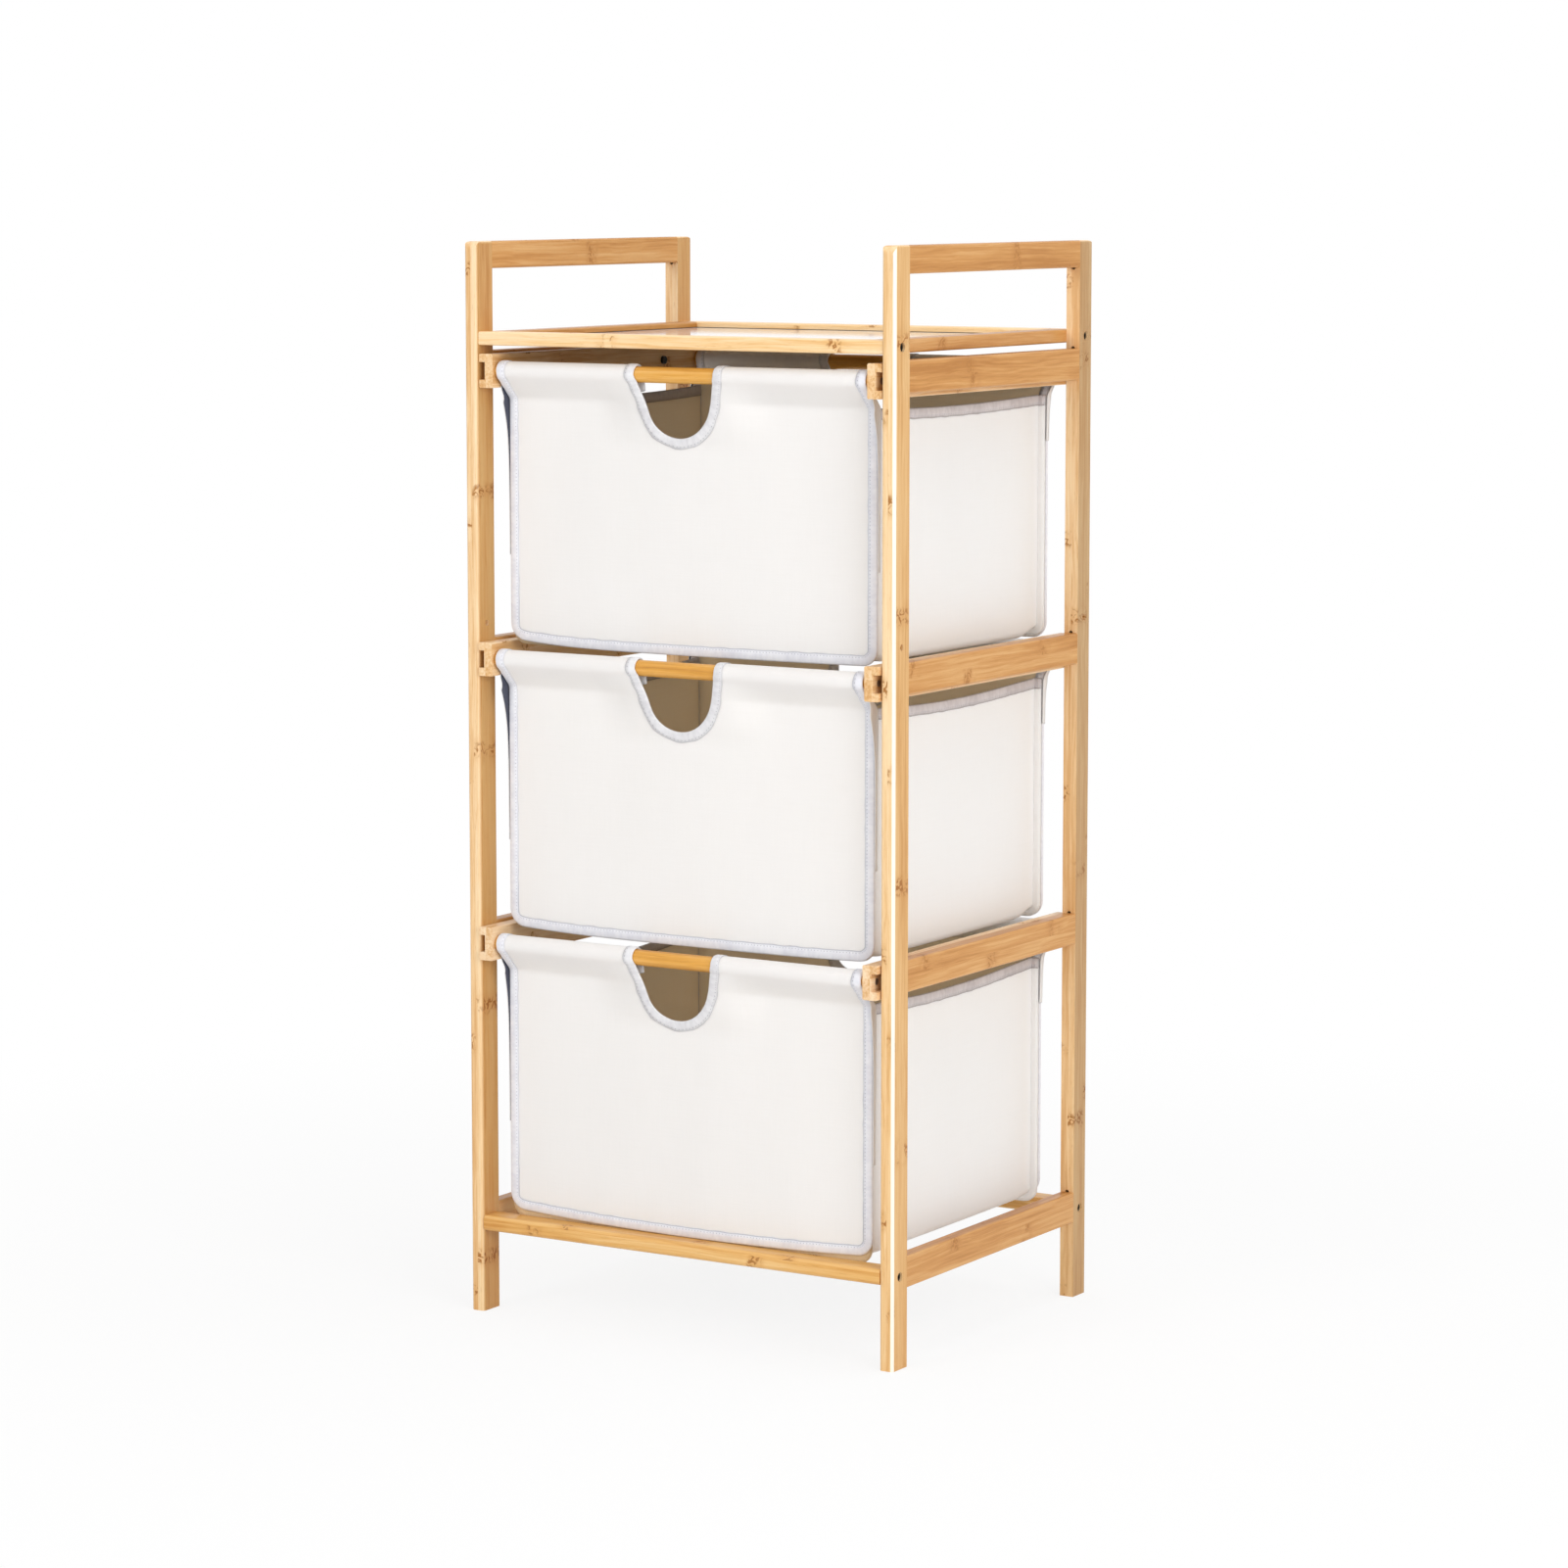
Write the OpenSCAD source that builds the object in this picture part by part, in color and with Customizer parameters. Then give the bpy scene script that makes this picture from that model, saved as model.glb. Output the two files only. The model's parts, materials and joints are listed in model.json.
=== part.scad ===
// Free-standing bamboo unit with three cloth drawers that slide on runners inside two side frames.
// X runs across the front, Y from front to back and Z up. The origin is on the floor, in the middle.

/* [Side frames] */
// Width of the unit, over the two side frames
frame_w = 440; // [400:5:500]
// Depth of a side frame, over its two posts
frame_d = 350; // [330:5:400]
// Thickness of posts, handle rails and planks, across the unit
post_t = 13.5; // [13:0.5:18]
// Width of a post, from front to back
post_w = 24; // [23:1:30]
// Rounding of a post's two outer arrises
arris_r = 3; // [1.5:0.5:5]
// Rounding of a side frame's upper corners
corner_r = 7; // [3:1:12]
// Rounding along the edges of handle rails, planks and tray rails
rail_r = 2; // [1:0.5:3]
// Height of a handle rail
handle_h = 24; // [18:1:32]
// Height of the gap for a hand, from the tray's upper edge to a handle rail
hand_gap = 55; // [45:1:90]
// Height of a plank
plank_h = 28; // [24:1:34]
// Height of the base planks' upper edges above the floor
base_plank_top = 97; // [90:1:120]
// Distance from one tier to the next
tier_pitch = 255; // [220:1:280]

/* [Tenons] */
// Thickness of a tenon's mortise
tenon_t = 4; // [3:0.5:7]
// Shoulder above and below a tenon
tenon_shoulder = 3; // [2:0.5:6]
// Distance that a mortise runs on past the edge of its rail, towards the opening
mortise_over = 2; // [1:0.5:4]
// Play round a tenon
tenon_fit = 0.1; // [0.05:0.05:0.3]
// Wood between a mortise and the hole for a bolt's head
tenon_wall = 1; // [0.5:0.5:3]

/* [Tray] */
// Gap between the top planks and the tray
tray_gap = 5; // [2:1:20]
// Height of a tray rail
tray_rail_h = 12; // [10:0.5:16]
// Distance of a tray rail from the faces of the posts that it lies between
tray_set_back = 2; // [0:0.5:2]
// Thickness of the tray's panel
panel_t = 4; // [3:0.5:5]
// Depth of the panel's top below the tray's upper edge
panel_drop = 5; // [3:0.5:6]
// Depth of the groove that holds the panel
panel_groove = 5; // [3:0.5:5.5]
// Play of the panel in its groove
panel_fit = 0.2; // [0.1:0.1:0.5]

/* [Base rails] */
// Height of a base rail
base_rail_h = 14; // [12:1:20]
// Distance of a base rail's middle below the base planks' middle
base_rail_drop = 2; // [0:0.5:6]
// Rounding of a base rail's edges
base_rail_r = 4; // [2:0.5:5.5]

/* [Bolts] */
// Diameter of a bolt's shank
bolt_d = 5; // [4:0.5:6]
// Length of a bolt's shank
bolt_len = 36; // [28:1:45]
// Diameter of a bolt's head
bolt_head_d = 7.6; // [7:0.2:9]
// Height of a bolt's head
bolt_head_h = 4; // [3:0.5:5]
// Width of the hexagon socket over its flats
bolt_socket_w = 3.5; // [2.5:0.5:4]
// Depth of the hexagon socket
bolt_socket_depth = 2.5; // [1.5:0.5:2.5]
// Depth of a bolt's head below the post's outer face
bolt_sink = 2; // [0.4:0.2:3]
// Play round a bolt in its post
bolt_play = 0.25; // [0.1:0.05:0.5]
// Diameter of the threaded insert in a rail's end
insert_d = 8; // [7.5:0.5:8.5]
// Length of the threaded insert
insert_len = 15; // [10:1:20]
// Play round a thread or an insert
thread_play = 0.05; // [0.02:0.01:0.1]
// Diameter of the spare hole through each post
spare_hole_d = 5.5; // [4:0.5:7]
// Height of the spare holes above the middle planks' upper edges
spare_hole_up = 13.5; // [10:0.5:18]

/* [Runners] */
// Height of a runner
runner_h = 14.5; // [12:0.5:18]
// Thickness of a runner, out of its plank
runner_t = 5; // [4:0.5:6]
// Distance of a runner's middle below its plank's middle
runner_drop = 3; // [0:0.5:4]
// Distance of a runner's ends from the front and the back of its side frame
runner_inset = 28; // [25:1:45]
// Diameter of a runner screw's shank
runner_screw_d = 3; // [2.5:0.5:4]
// Diameter of a runner screw's head
runner_screw_head_d = 6; // [5:0.5:8]
// Depth of a runner screw in its plank
runner_screw_bite = 9; // [6:0.5:11]
// Distance of a runner screw from its runner's end
runner_screw_inset = 14; // [10:1:20]

/* [Sliding bars] */
// Width of a bar, across the unit
bar_w = 14.5; // [13:0.5:18]
// Height of a bar
bar_h = 30; // [26:1:34]
// Length that a bar lacks to reach from the front to the back of a side frame
bar_short = 4; // [4:1:12]
// Rounding of a bar's edges
bar_r = 1.5; // [1:0.5:3]
// Play between a bar and its side frame
bar_play = 0.5; // [0.3:0.1:1]
// Play of a runner in its bar's groove, up and down
groove_play = 1; // [0.6:0.2:2]
// Gap between a runner's face and the bottom of its bar's groove
groove_gap = 1.5; // [1:0.5:3]
// Distance that the top drawer's bars stand out past the posts
top_proud = -2; // [-4:1:6]
// Distance that the middle drawer's bars stand out past the posts
middle_proud = 2; // [-4:1:6]
// Distance that the low drawer's bars stand out past the posts
low_proud = 4; // [-4:1:6]
// Distance that a drawer pulls out
travel = 200; // [120:5:205]

/* [Stop screws] */
// Distance of a stop screw from its bar's rear end
stop_inset = 71; // [64:1:76]
// Diameter of a stop screw's shank
stop_d = 4; // [3:0.5:5]
// Diameter of a stop screw's head
stop_head_d = 7.5; // [6:0.5:9]
// Height of a stop screw's head
stop_head_h = 2.5; // [1.5:0.5:3]
// Distance that a stop screw's tip reaches into the runner's channel
stop_reach = 1.8; // [1:0.2:2.4]
// Play between a stop screw's tip and its channel
stop_play = 0.4; // [0.3:0.1:1]

/* [Rods] */
// Diameter of a rod
rod_d = 14; // [12:0.5:17]
// Distance of a rod's middle from the end of its bars
rod_inset = 10; // [9:0.5:16]
// Depth of a rod's seat in a bar
rod_seat = 4.5; // [3:0.5:5.5]
// Play round a rod in its seat
rod_fit = 0.1; // [0.05:0.05:0.3]
// Diameter of a rod screw's shank
rod_screw_d = 3; // [2.5:0.5:4]
// Diameter of a rod screw's head
rod_screw_head_d = 6; // [5:0.5:8]
// Length of a rod screw
rod_screw_len = 22; // [16:1:30]

/* [Bags] */
// Thickness of the lined cloth
cloth_t = 1.5; // [1:0.25:2]
// Gap between a bag's panels and the bars beside them
bag_gap = 3; // [3:0.5:8]
// Gap between a bag's bottom and the cloth round the next rod below
bag_clear = 3.2; // [2:0.2:20]
// Gap between the low bag's bottom and the base rails
base_clear = 5.5; // [2:0.5:20]
// Distance of a front or back panel behind its rod, towards the bag
panel_back = 13; // [11:0.5:20]
// Bend of the cloth where a panel starts to hang straight down
bend_r = 8; // [4:1:12]
// Distance of a side wall's upper edge below the rods' middle
side_drop = 25; // [22:1:40]
// Width of the bound seam that a panel stands out by, past the side walls
seam_w = 8; // [4:0.5:9]
// Height of the same seam below the bottom
seam_low = 1; // [0.5:0.5:6]
// Rounding of the panels' lower corners
bag_r = 14; // [12:1:30]
// Gap between a rod and the cloth round it
sleeve_gap = 0.3; // [0.2:0.1:1]
// Distance of the sleeve's seam below its rod's middle
seam_drop = 15; // [13:0.5:18]
// Thickness of the board in a bag's bottom
board_t = 3; // [2:0.5:5]
// Gap between the board and the panels
board_gap = 18; // [1:1:24]

/* [Cut-outs] */
// Radius of the cut-out's round bottom
cut_r = 27; // [18:1:40]
// Width of the cut-out at its rod
cut_top_w = 82; // [80:2:120]
// Depth of the cut-out below its rod's middle
cut_depth = 52; // [45:1:80]

/* [Hidden] */
$fn = 48;
TIERS = ["top", "middle", "low"];
PLANKS = ["top", "middle", "low", "base"];
SIDES = ["left", "right"];
ENDS = ["front", "rear"];

// Colours
BAMBOO = "#ddb27a";
BAMBOO_DARK = "#c99558";
ROD_COLOUR = "#e3a550";
CLOTH = "#f2f0ed";
CLOTH_SIDE = "#e9e5e1";
BOARD = "#a88a62";
GLOSS_WHITE = "#dfe6ef";
BLACK_STEEL = "#26241f";
ZINC = "#a9aaac";

// Places of a tier in the lists above
MIDDLE = 1;
LOW = 2;
BASE = 3;
// Cuts reach past the faces that they go through by this much
OVER = 1;
// Angle between the points on bent cloth
CLOTH_STEP = 15;
// Angle on the rod where the cloth leaves it, and the slope that it then takes
LEAVE_ANGLE = 225;
SLOPE = 45;

// Places across the unit and from front to back
PROUD = [top_proud, middle_proud, low_proud];
most_proud = max(0, max(PROUD));
front_y = most_proud - (frame_d + most_proud) / 2;
back_y = front_y + frame_d;
outer_x = -frame_w / 2;
inner_x = outer_x + post_t;
post_mid_y = front_y + post_w / 2;
inside_y = front_y + post_w;
bar_len = frame_d - bar_short;
bar_x = inner_x + bar_play;
bar_inside_x = bar_x + bar_w;
groove_depth = runner_t - bar_play + groove_gap;
groove_h = runner_h + groove_play;
web_x = bar_x + groove_depth;
runner_face_x = inner_x + runner_t;
bag_x = bar_inside_x + bag_gap;
bolt_head_x = outer_x + bolt_sink + bolt_head_h;
tenon_len = post_w / 2 - bolt_head_d / 2 - bolt_play - tenon_wall - tenon_fit;
tray_rail_w = post_w - 2 * tray_set_back;

// Places above the floor
sleeve_r = rod_d / 2 + sleeve_gap + cloth_t / 2;
bag_drop = tier_pitch - sleeve_r - cloth_t / 2 - bag_clear;
bar_below_plank = plank_h / 2 + runner_drop + groove_play / 2;
base_rail_mid = base_plank_top - plank_h / 2 - base_rail_drop;
low_tier_top = base_rail_mid + base_rail_h / 2 + base_clear + bag_drop + bar_below_plank;
tray_low = plank_top(0) + tray_gap;
tray_top = tray_low + tray_rail_h;
tray_mid_z = tray_low + tray_rail_h / 2;
panel_low = tray_top - panel_drop - panel_t;
frame_h = tray_top + hand_gap + handle_h;

// Heights and places of a tier, counted from the top
function plank_top(i) = i == BASE ? base_plank_top : low_tier_top + (LOW - i) * tier_pitch;
function runner_mid(i) = plank_top(i) - plank_h / 2 - runner_drop;
function bar_mid(i) = plank_top(i) - bar_below_plank;
function bar_front(i) = front_y - PROUD[i];
function bar_back(i) = bar_front(i) + bar_len;
function stop_y(i) = bar_back(i) - stop_inset;
function rod_y(i) = bar_front(i) + rod_inset;
function bag_front_y(i) = rod_y(i) + panel_back + cloth_t / 2;
function bag_bottom(i) = bar_mid(i) - bag_drop;

// What is modelled on the left is drawn on the side asked for
module on_side(side) {
    mirror([side == "right" ? 1 : 0, 0, 0]) children();
}

// What is modelled at the front of the side frames is drawn at the end asked for
module at_end(end) {
    turn_y = end == "rear" ? front_y + back_y : 0;
    translate([0, turn_y, 0]) mirror([0, end == "rear" ? 1 : 0, 0]) children();
}

// What is modelled at the front of a drawer is drawn at the end asked for
module at_drawer_end(i, end) {
    turn_y = end == "rear" ? bar_front(i) + bar_back(i) : 0;
    translate([0, turn_y, 0]) mirror([0, end == "rear" ? 1 : 0, 0]) children();
}

// Rectangle with four round corners
module rounded_rect(w, h, r) {
    translate([r, 0]) square([w - 2 * r, h]);
    translate([0, r]) square([w, h - 2 * r]);
    for (x = [r, w - r], y = [r, h - r]) translate([x, y]) circle(r);
}

// Rectangle with its two low corners rounded
module low_rounded_rect(w, h, r) {
    translate([0, r]) square([w, h - r]);
    translate([r, 0]) square([w - 2 * r, h]);
    for (x = [r, w - r]) translate([x, r]) circle(r);
}

// Extrudes an outline drawn in X and Z along Y, from y0 to y1
module along_y(y0, y1) {
    translate([0, y1, 0]) rotate([90, 0, 0]) linear_extrude(y1 - y0) children();
}

// Extrudes an outline drawn in Y and Z along X, from x0 to x1
module along_x(x0, x1) {
    translate([x0, 0, 0]) rotate([90, 0, 90]) linear_extrude(x1 - x0) children();
}

// Round bar along X
module round_x(x0, x1, y, z, d) {
    translate([x0, y, z]) rotate([0, 90, 0]) cylinder(h = x1 - x0, d = d);
}

// Countersunk screw along +X, with the face of its head at the origin
module countersunk_screw(d, head_d, length) {
    rotate([0, 90, 0]) {
        cylinder(h = (head_d - d) / 2, d1 = head_d, d2 = d);
        cylinder(h = length, d = d);
    }
}

// Upright slot with round ends, in the middle of a post's thickness, from y0 to y1
module upright_slot(w, z0, z1, y0, y1) {
    along_y(y0, y1) translate([outer_x + post_t / 2, 0]) {
        translate([-w / 2, z0 + w / 2]) square([w, z1 - z0 - w]);
        for (z = [z0 + w / 2, z1 - w / 2]) translate([0, z]) circle(d = w);
    }
}

// Mortise in a post, from z0 to z1
module mortise(z0, z1) {
    upright_slot(tenon_t, z0, z1, inside_y - tenon_len - tenon_fit, inside_y + OVER);
}

// Post of the left frame's front end
module post_body() {
    intersection() {
        translate([outer_x, front_y]) linear_extrude(frame_h) low_rounded_rect(post_t, post_w, arris_r);
        along_y(front_y, inside_y) translate([outer_x, frame_h]) mirror([0, 1])
            low_rounded_rect(post_t, frame_h, rail_r);
        along_x(outer_x, inner_x) translate([front_y, 0]) {
            square([post_w, frame_h - corner_r]);
            translate([corner_r, 0]) square([post_w - corner_r, frame_h]);
            translate([corner_r, frame_h - corner_r]) circle(corner_r);
        }
    }
}

module post(side, end) {
    color(BAMBOO) on_side(side) at_end(end) difference() {
        post_body();
        for (z = [tray_mid_z, base_rail_mid]) {
            round_x(outer_x - OVER, inner_x + OVER, post_mid_y, z, bolt_d + 2 * bolt_play);
            round_x(outer_x - OVER, bolt_head_x, post_mid_y, z, bolt_head_d + 2 * bolt_play);
        }
        round_x(outer_x - OVER, inner_x + OVER, post_mid_y, plank_top(MIDDLE) + spare_hole_up, spare_hole_d);
        mortise(frame_h - handle_h - mortise_over, frame_h - tenon_shoulder);
        for (i = [0 : BASE]) mortise(plank_top(i) - plank_h + tenon_shoulder, plank_top(i) + mortise_over);
    }
}

// Rail of the left frame between its posts, with a tenon at each end
module side_rail(low, high) {
    along_y(inside_y, front_y + back_y - inside_y) translate([outer_x, low])
        rounded_rect(post_t, high - low, rail_r);
    for (end = ENDS) at_end(end)
        upright_slot(tenon_t - 2 * tenon_fit, low + tenon_shoulder + tenon_fit,
                     high - tenon_shoulder - tenon_fit, inside_y - tenon_len, inside_y + OVER);
}

module handle(side) {
    color(BAMBOO) on_side(side) side_rail(frame_h - handle_h, frame_h);
}

module plank(side, i) {
    color(BAMBOO) on_side(side) difference() {
        side_rail(plank_top(i) - plank_h, plank_top(i));
        if (i < BASE) runner_screw_pair(i);
    }
}

// The two screws of a tier's runner on the left
module runner_screw_pair(i) {
    y = front_y + runner_inset + runner_screw_inset;
    for (end = ENDS) at_end(end) translate([runner_face_x, y, runner_mid(i)]) mirror([1, 0, 0])
        countersunk_screw(runner_screw_d, runner_screw_head_d, runner_t + runner_screw_bite);
}

module runner(side, i) {
    y0 = front_y + runner_inset;
    y1 = back_y - runner_inset;
    color(BAMBOO_DARK) on_side(side) difference() {
        translate([inner_x, y0, runner_mid(i) - runner_h / 2]) cube([runner_t, y1 - y0, runner_h]);
        stop_channel(i);
        runner_screw_pair(i);
    }
}

// Channel that the tip of the left stop screw runs in, from rest to the drawer's full travel
module stop_channel(i) {
    reach = stop_d / 2 + stop_play;
    depth = stop_reach + stop_play;
    translate([runner_face_x - depth, stop_y(i) - travel - reach, runner_mid(i) - reach])
        cube([depth + OVER, travel + 2 * reach, 2 * reach]);
}

module runner_screws() {
    color(ZINC) for (side = SIDES, i = [0 : LOW]) on_side(side) runner_screw_pair(i);
}

module tray_rail_section() {
    rounded_rect(tray_rail_w, tray_rail_h, rail_r);
}

// Tray rail across the unit, with a groove for the panel and holes for the bolts
module tray_cross_rail(end) {
    y0 = front_y + tray_set_back;
    color(BAMBOO) at_end(end) difference() {
        along_x(inner_x, -inner_x) translate([y0, tray_low]) tray_rail_section();
        translate([inner_x - OVER, y0 + tray_rail_w - panel_groove, panel_low - panel_fit])
            cube([2 * (OVER - inner_x), panel_groove + OVER, panel_t + 2 * panel_fit]);
        for (side = SIDES) on_side(side) rail_bolt_hole(tray_mid_z);
    }
}

// Hole in a cross rail's left end, for the threaded insert and the bolt's tip behind it
module rail_bolt_hole(z) {
    round_x(inner_x - OVER, inner_x + insert_len, post_mid_y, z, insert_d + 2 * thread_play);
    round_x(inner_x, bolt_head_x + bolt_len + OVER, post_mid_y, z, bolt_d + 2 * bolt_play);
}

// Tray rail from front to back, with a groove for the panel and a tongue in each cross rail
module tray_side_rail(side) {
    y0 = front_y + tray_set_back + tray_rail_w;
    y1 = front_y + back_y - y0;
    tongue = panel_groove - panel_fit;
    color(BAMBOO) on_side(side) {
        difference() {
            along_y(y0, y1) translate([inner_x, tray_low]) tray_rail_section();
            translate([inner_x + tray_rail_w - panel_groove, y0 - OVER, panel_low - panel_fit])
                cube([panel_groove + OVER, y1 - y0 + 2 * OVER, panel_t + 2 * panel_fit]);
        }
        translate([inner_x, y0 - tongue, panel_low])
            cube([tray_rail_w - panel_groove - panel_fit, y1 - y0 + 2 * tongue, panel_t]);
    }
}

module tray_panel() {
    x0 = inner_x + tray_rail_w - panel_groove + panel_fit;
    y0 = front_y + tray_set_back + tray_rail_w - panel_groove + panel_fit;
    color(GLOSS_WHITE) translate([x0, y0, panel_low - panel_fit])
        cube([-2 * x0, front_y + back_y - 2 * y0, panel_t]);
}

module base_rail(end) {
    color(BAMBOO) at_end(end) difference() {
        along_x(inner_x, -inner_x) translate([front_y, base_rail_mid - base_rail_h / 2])
            rounded_rect(post_w, base_rail_h, base_rail_r);
        for (side = SIDES) on_side(side) rail_bolt_hole(base_rail_mid);
    }
}

// Each place where a bolt joins a post and a cross rail
module bolt_places() {
    for (side = SIDES, end = ENDS, z = [tray_mid_z, base_rail_mid])
        on_side(side) at_end(end) translate([0, post_mid_y, z]) children();
}

module frame_bolts() {
    color(BLACK_STEEL) bolt_places() difference() {
        union() {
            round_x(bolt_head_x - bolt_head_h, bolt_head_x, 0, 0, bolt_head_d);
            round_x(bolt_head_x - OVER, bolt_head_x + bolt_len, 0, 0, bolt_d);
        }
        translate([bolt_head_x - bolt_head_h - OVER, 0, 0]) rotate([0, 90, 0])
            cylinder(h = bolt_socket_depth + OVER, d = bolt_socket_w / cos(30), $fn = 6);
    }
}

module bolt_inserts() {
    color(ZINC) bolt_places() difference() {
        round_x(inner_x, inner_x + insert_len, 0, 0, insert_d);
        round_x(inner_x - OVER, inner_x + insert_len + OVER, 0, 0, bolt_d + 2 * thread_play);
    }
}

// Sliding bar: a groove along its outer face, and seats for the rods in its inner face
module bar(side, i) {
    z = bar_mid(i);
    color(BAMBOO) on_side(side) difference() {
        along_y(bar_front(i), bar_back(i)) difference() {
            translate([bar_x, z - bar_h / 2]) rounded_rect(bar_w, bar_h, bar_r);
            translate([bar_x - OVER, z - groove_h / 2]) square([groove_depth + OVER, groove_h]);
        }
        for (end = ENDS) at_drawer_end(i, end) {
            round_x(bar_inside_x - rod_seat, bar_inside_x + OVER, rod_y(i), z, rod_d + 2 * rod_fit);
            rod_screw(i);
        }
        round_x(web_x - OVER, bar_inside_x + OVER, stop_y(i), runner_mid(i), stop_d);
    }
}

// Screw through the left bar into the front rod, with its head in the groove
module rod_screw(i) {
    translate([web_x, rod_y(i), bar_mid(i)]) countersunk_screw(rod_screw_d, rod_screw_head_d, rod_screw_len);
}

module rod(i, end) {
    x0 = bar_inside_x - rod_seat + rod_fit;
    color(ROD_COLOUR) at_drawer_end(i, end) difference() {
        round_x(x0, -x0, rod_y(i), bar_mid(i), rod_d);
        for (side = SIDES) on_side(side) rod_screw(i);
    }
}

module rod_screws(i) {
    color(ZINC) for (side = SIDES, end = ENDS) on_side(side) at_drawer_end(i, end) rod_screw(i);
}

// Pan-head screws through the bars, with tips that run in the runners' channels
module stop_screws(i) {
    color(BLACK_STEEL) for (side = SIDES) on_side(side) {
        round_x(runner_face_x - stop_reach, bar_inside_x + OVER, stop_y(i), runner_mid(i), stop_d);
        round_x(bar_inside_x, bar_inside_x + stop_head_h, stop_y(i), runner_mid(i), stop_head_d);
    }
}

// Band of cloth along a path
function heading(path, k) = path[min(k + 1, len(path) - 1)] - path[max(k - 1, 0)];
function beside(v, gap) = gap * [-v[1], v[0]] / norm(v);
function band_edge(path, gap) = [for (k = [0 : len(path) - 1]) path[k] + beside(heading(path, k), gap)];
function reversed(list) = [for (k = [len(list) - 1 : -1 : 0]) list[k]];
module band(path) {
    polygon(concat(band_edge(path, cloth_t / 2), reversed(band_edge(path, -cloth_t / 2))));
}

// Points on an arc, a step apart; the step is below 0 to turn clockwise
function arc(centre, r, from, to, step) = [for (a = [from : step : to]) centre + r * [cos(a), sin(a)]];
// Place at a given height on the slope that the cloth takes from the rod to the panel
function on_slope(z) = [-z - sleeve_r / sin(SLOPE), z];
// Middle of the bend between the slope and the panel
function bend_mid() = [panel_back - bend_r, bend_r - panel_back - (sleeve_r + bend_r) / sin(SLOPE)];

// Section of the front panel: round its rod, down the slope and on to the bottom, with its seamed edge
module panel_section() {
    behind_rod = [sleeve_r, 0];
    round_rod = arc([0, 0], sleeve_r, -CLOTH_STEP, LEAVE_ANGLE, CLOTH_STEP);
    bend = arc(bend_mid(), bend_r, SLOPE, 0, -CLOTH_STEP);
    band(concat(round_rod, bend, [[panel_back, -bag_drop]]));
    band([behind_rod, behind_rod - [cloth_t / 2, sleeve_r], on_slope(-seam_drop)]);
}

// Outline of a bag's panels from the front, drawn in by inset, from rise above the bottom up to high
module bag_outline(i, inset, rise, high) {
    low = bag_bottom(i) + rise;
    translate([bag_x + inset, low]) low_rounded_rect(-2 * (bag_x + inset), high - low, bag_r - inset);
}

// Outline of a cut-out from the front: round below, with straight sides that touch the round part
module cut_outline(i) {
    z = bar_mid(i);
    mid = z - cut_depth + cut_r;
    top = cut_top_w / 2;
    turn = atan2(z - mid, top) - acos(cut_r / norm([top, z - mid]));
    touch_x = cut_r * cos(turn);
    touch_z = mid + cut_r * sin(turn);
    translate([0, mid]) circle(cut_r);
    polygon([[-touch_x, touch_z], [touch_x, touch_z], [top, z],
             [top, z + rod_d], [-top, z + rod_d], [-top, z]]);
}

module bag_panel(i, end) {
    color(CLOTH) at_drawer_end(i, end) intersection() {
        along_x(bag_x, -bag_x) translate([rod_y(i), bar_mid(i)]) panel_section();
        along_y(bar_front(i), bag_front_y(i) + OVER) difference() {
            bag_outline(i, 0, 0, bar_mid(i) + rod_d);
            cut_outline(i);
        }
    }
}

// Side walls and bottom in one piece of cloth
module bag_sides(i) {
    high = bar_mid(i) - side_drop;
    y0 = bag_front_y(i);
    color(CLOTH_SIDE) along_y(y0, bar_front(i) + bar_back(i) - y0) difference() {
        bag_outline(i, seam_w, seam_low, high);
        bag_outline(i, seam_w + cloth_t, seam_low + cloth_t, high + OVER);
    }
}

module bag_board(i) {
    x0 = bag_x + bag_r;
    y0 = bag_front_y(i) + board_gap;
    color(BOARD) translate([x0, y0, bag_bottom(i) + seam_low + cloth_t])
        cube([-2 * x0, bar_front(i) + bar_back(i) - 2 * y0, board_t]);
}

for (s = SIDES) {
    for (e = ENDS) post(s, e);
    handle(s);
    for (i = [0 : BASE]) plank(s, i);
    for (i = [0 : LOW]) runner(s, i);
    tray_side_rail(s);
}
runner_screws();
frame_bolts();
bolt_inserts();
tray_cross_rail("front");  // tray_front_rail
tray_cross_rail("rear");  // tray_back_rail
tray_panel();
base_rail("front");  // base_front_rail
base_rail("rear");  // base_back_rail
for (i = [0 : LOW]) {
    for (s = SIDES) bar(s, i);
    for (e = ENDS) rod(i, e);
    rod_screws(i);
    stop_screws(i);
    bag_panel(i, "front");
    bag_panel(i, "rear");
    bag_sides(i);
    bag_board(i);
}
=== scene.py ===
"""Looks of a free-standing bamboo unit with three cloth drawers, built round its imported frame.

Every length is in metres. X runs across the unit, Y from front to back and Z up. The scales of a finish's
noises are in cells per metre.
"""
from __future__ import annotations

import json
import logging
import math
import random
from abc import ABC, abstractmethod
from bisect import bisect_right
from dataclasses import dataclass, replace
from enum import Enum
from itertools import accumulate
from typing import Any, Callable, ClassVar, Sequence, Union

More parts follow.
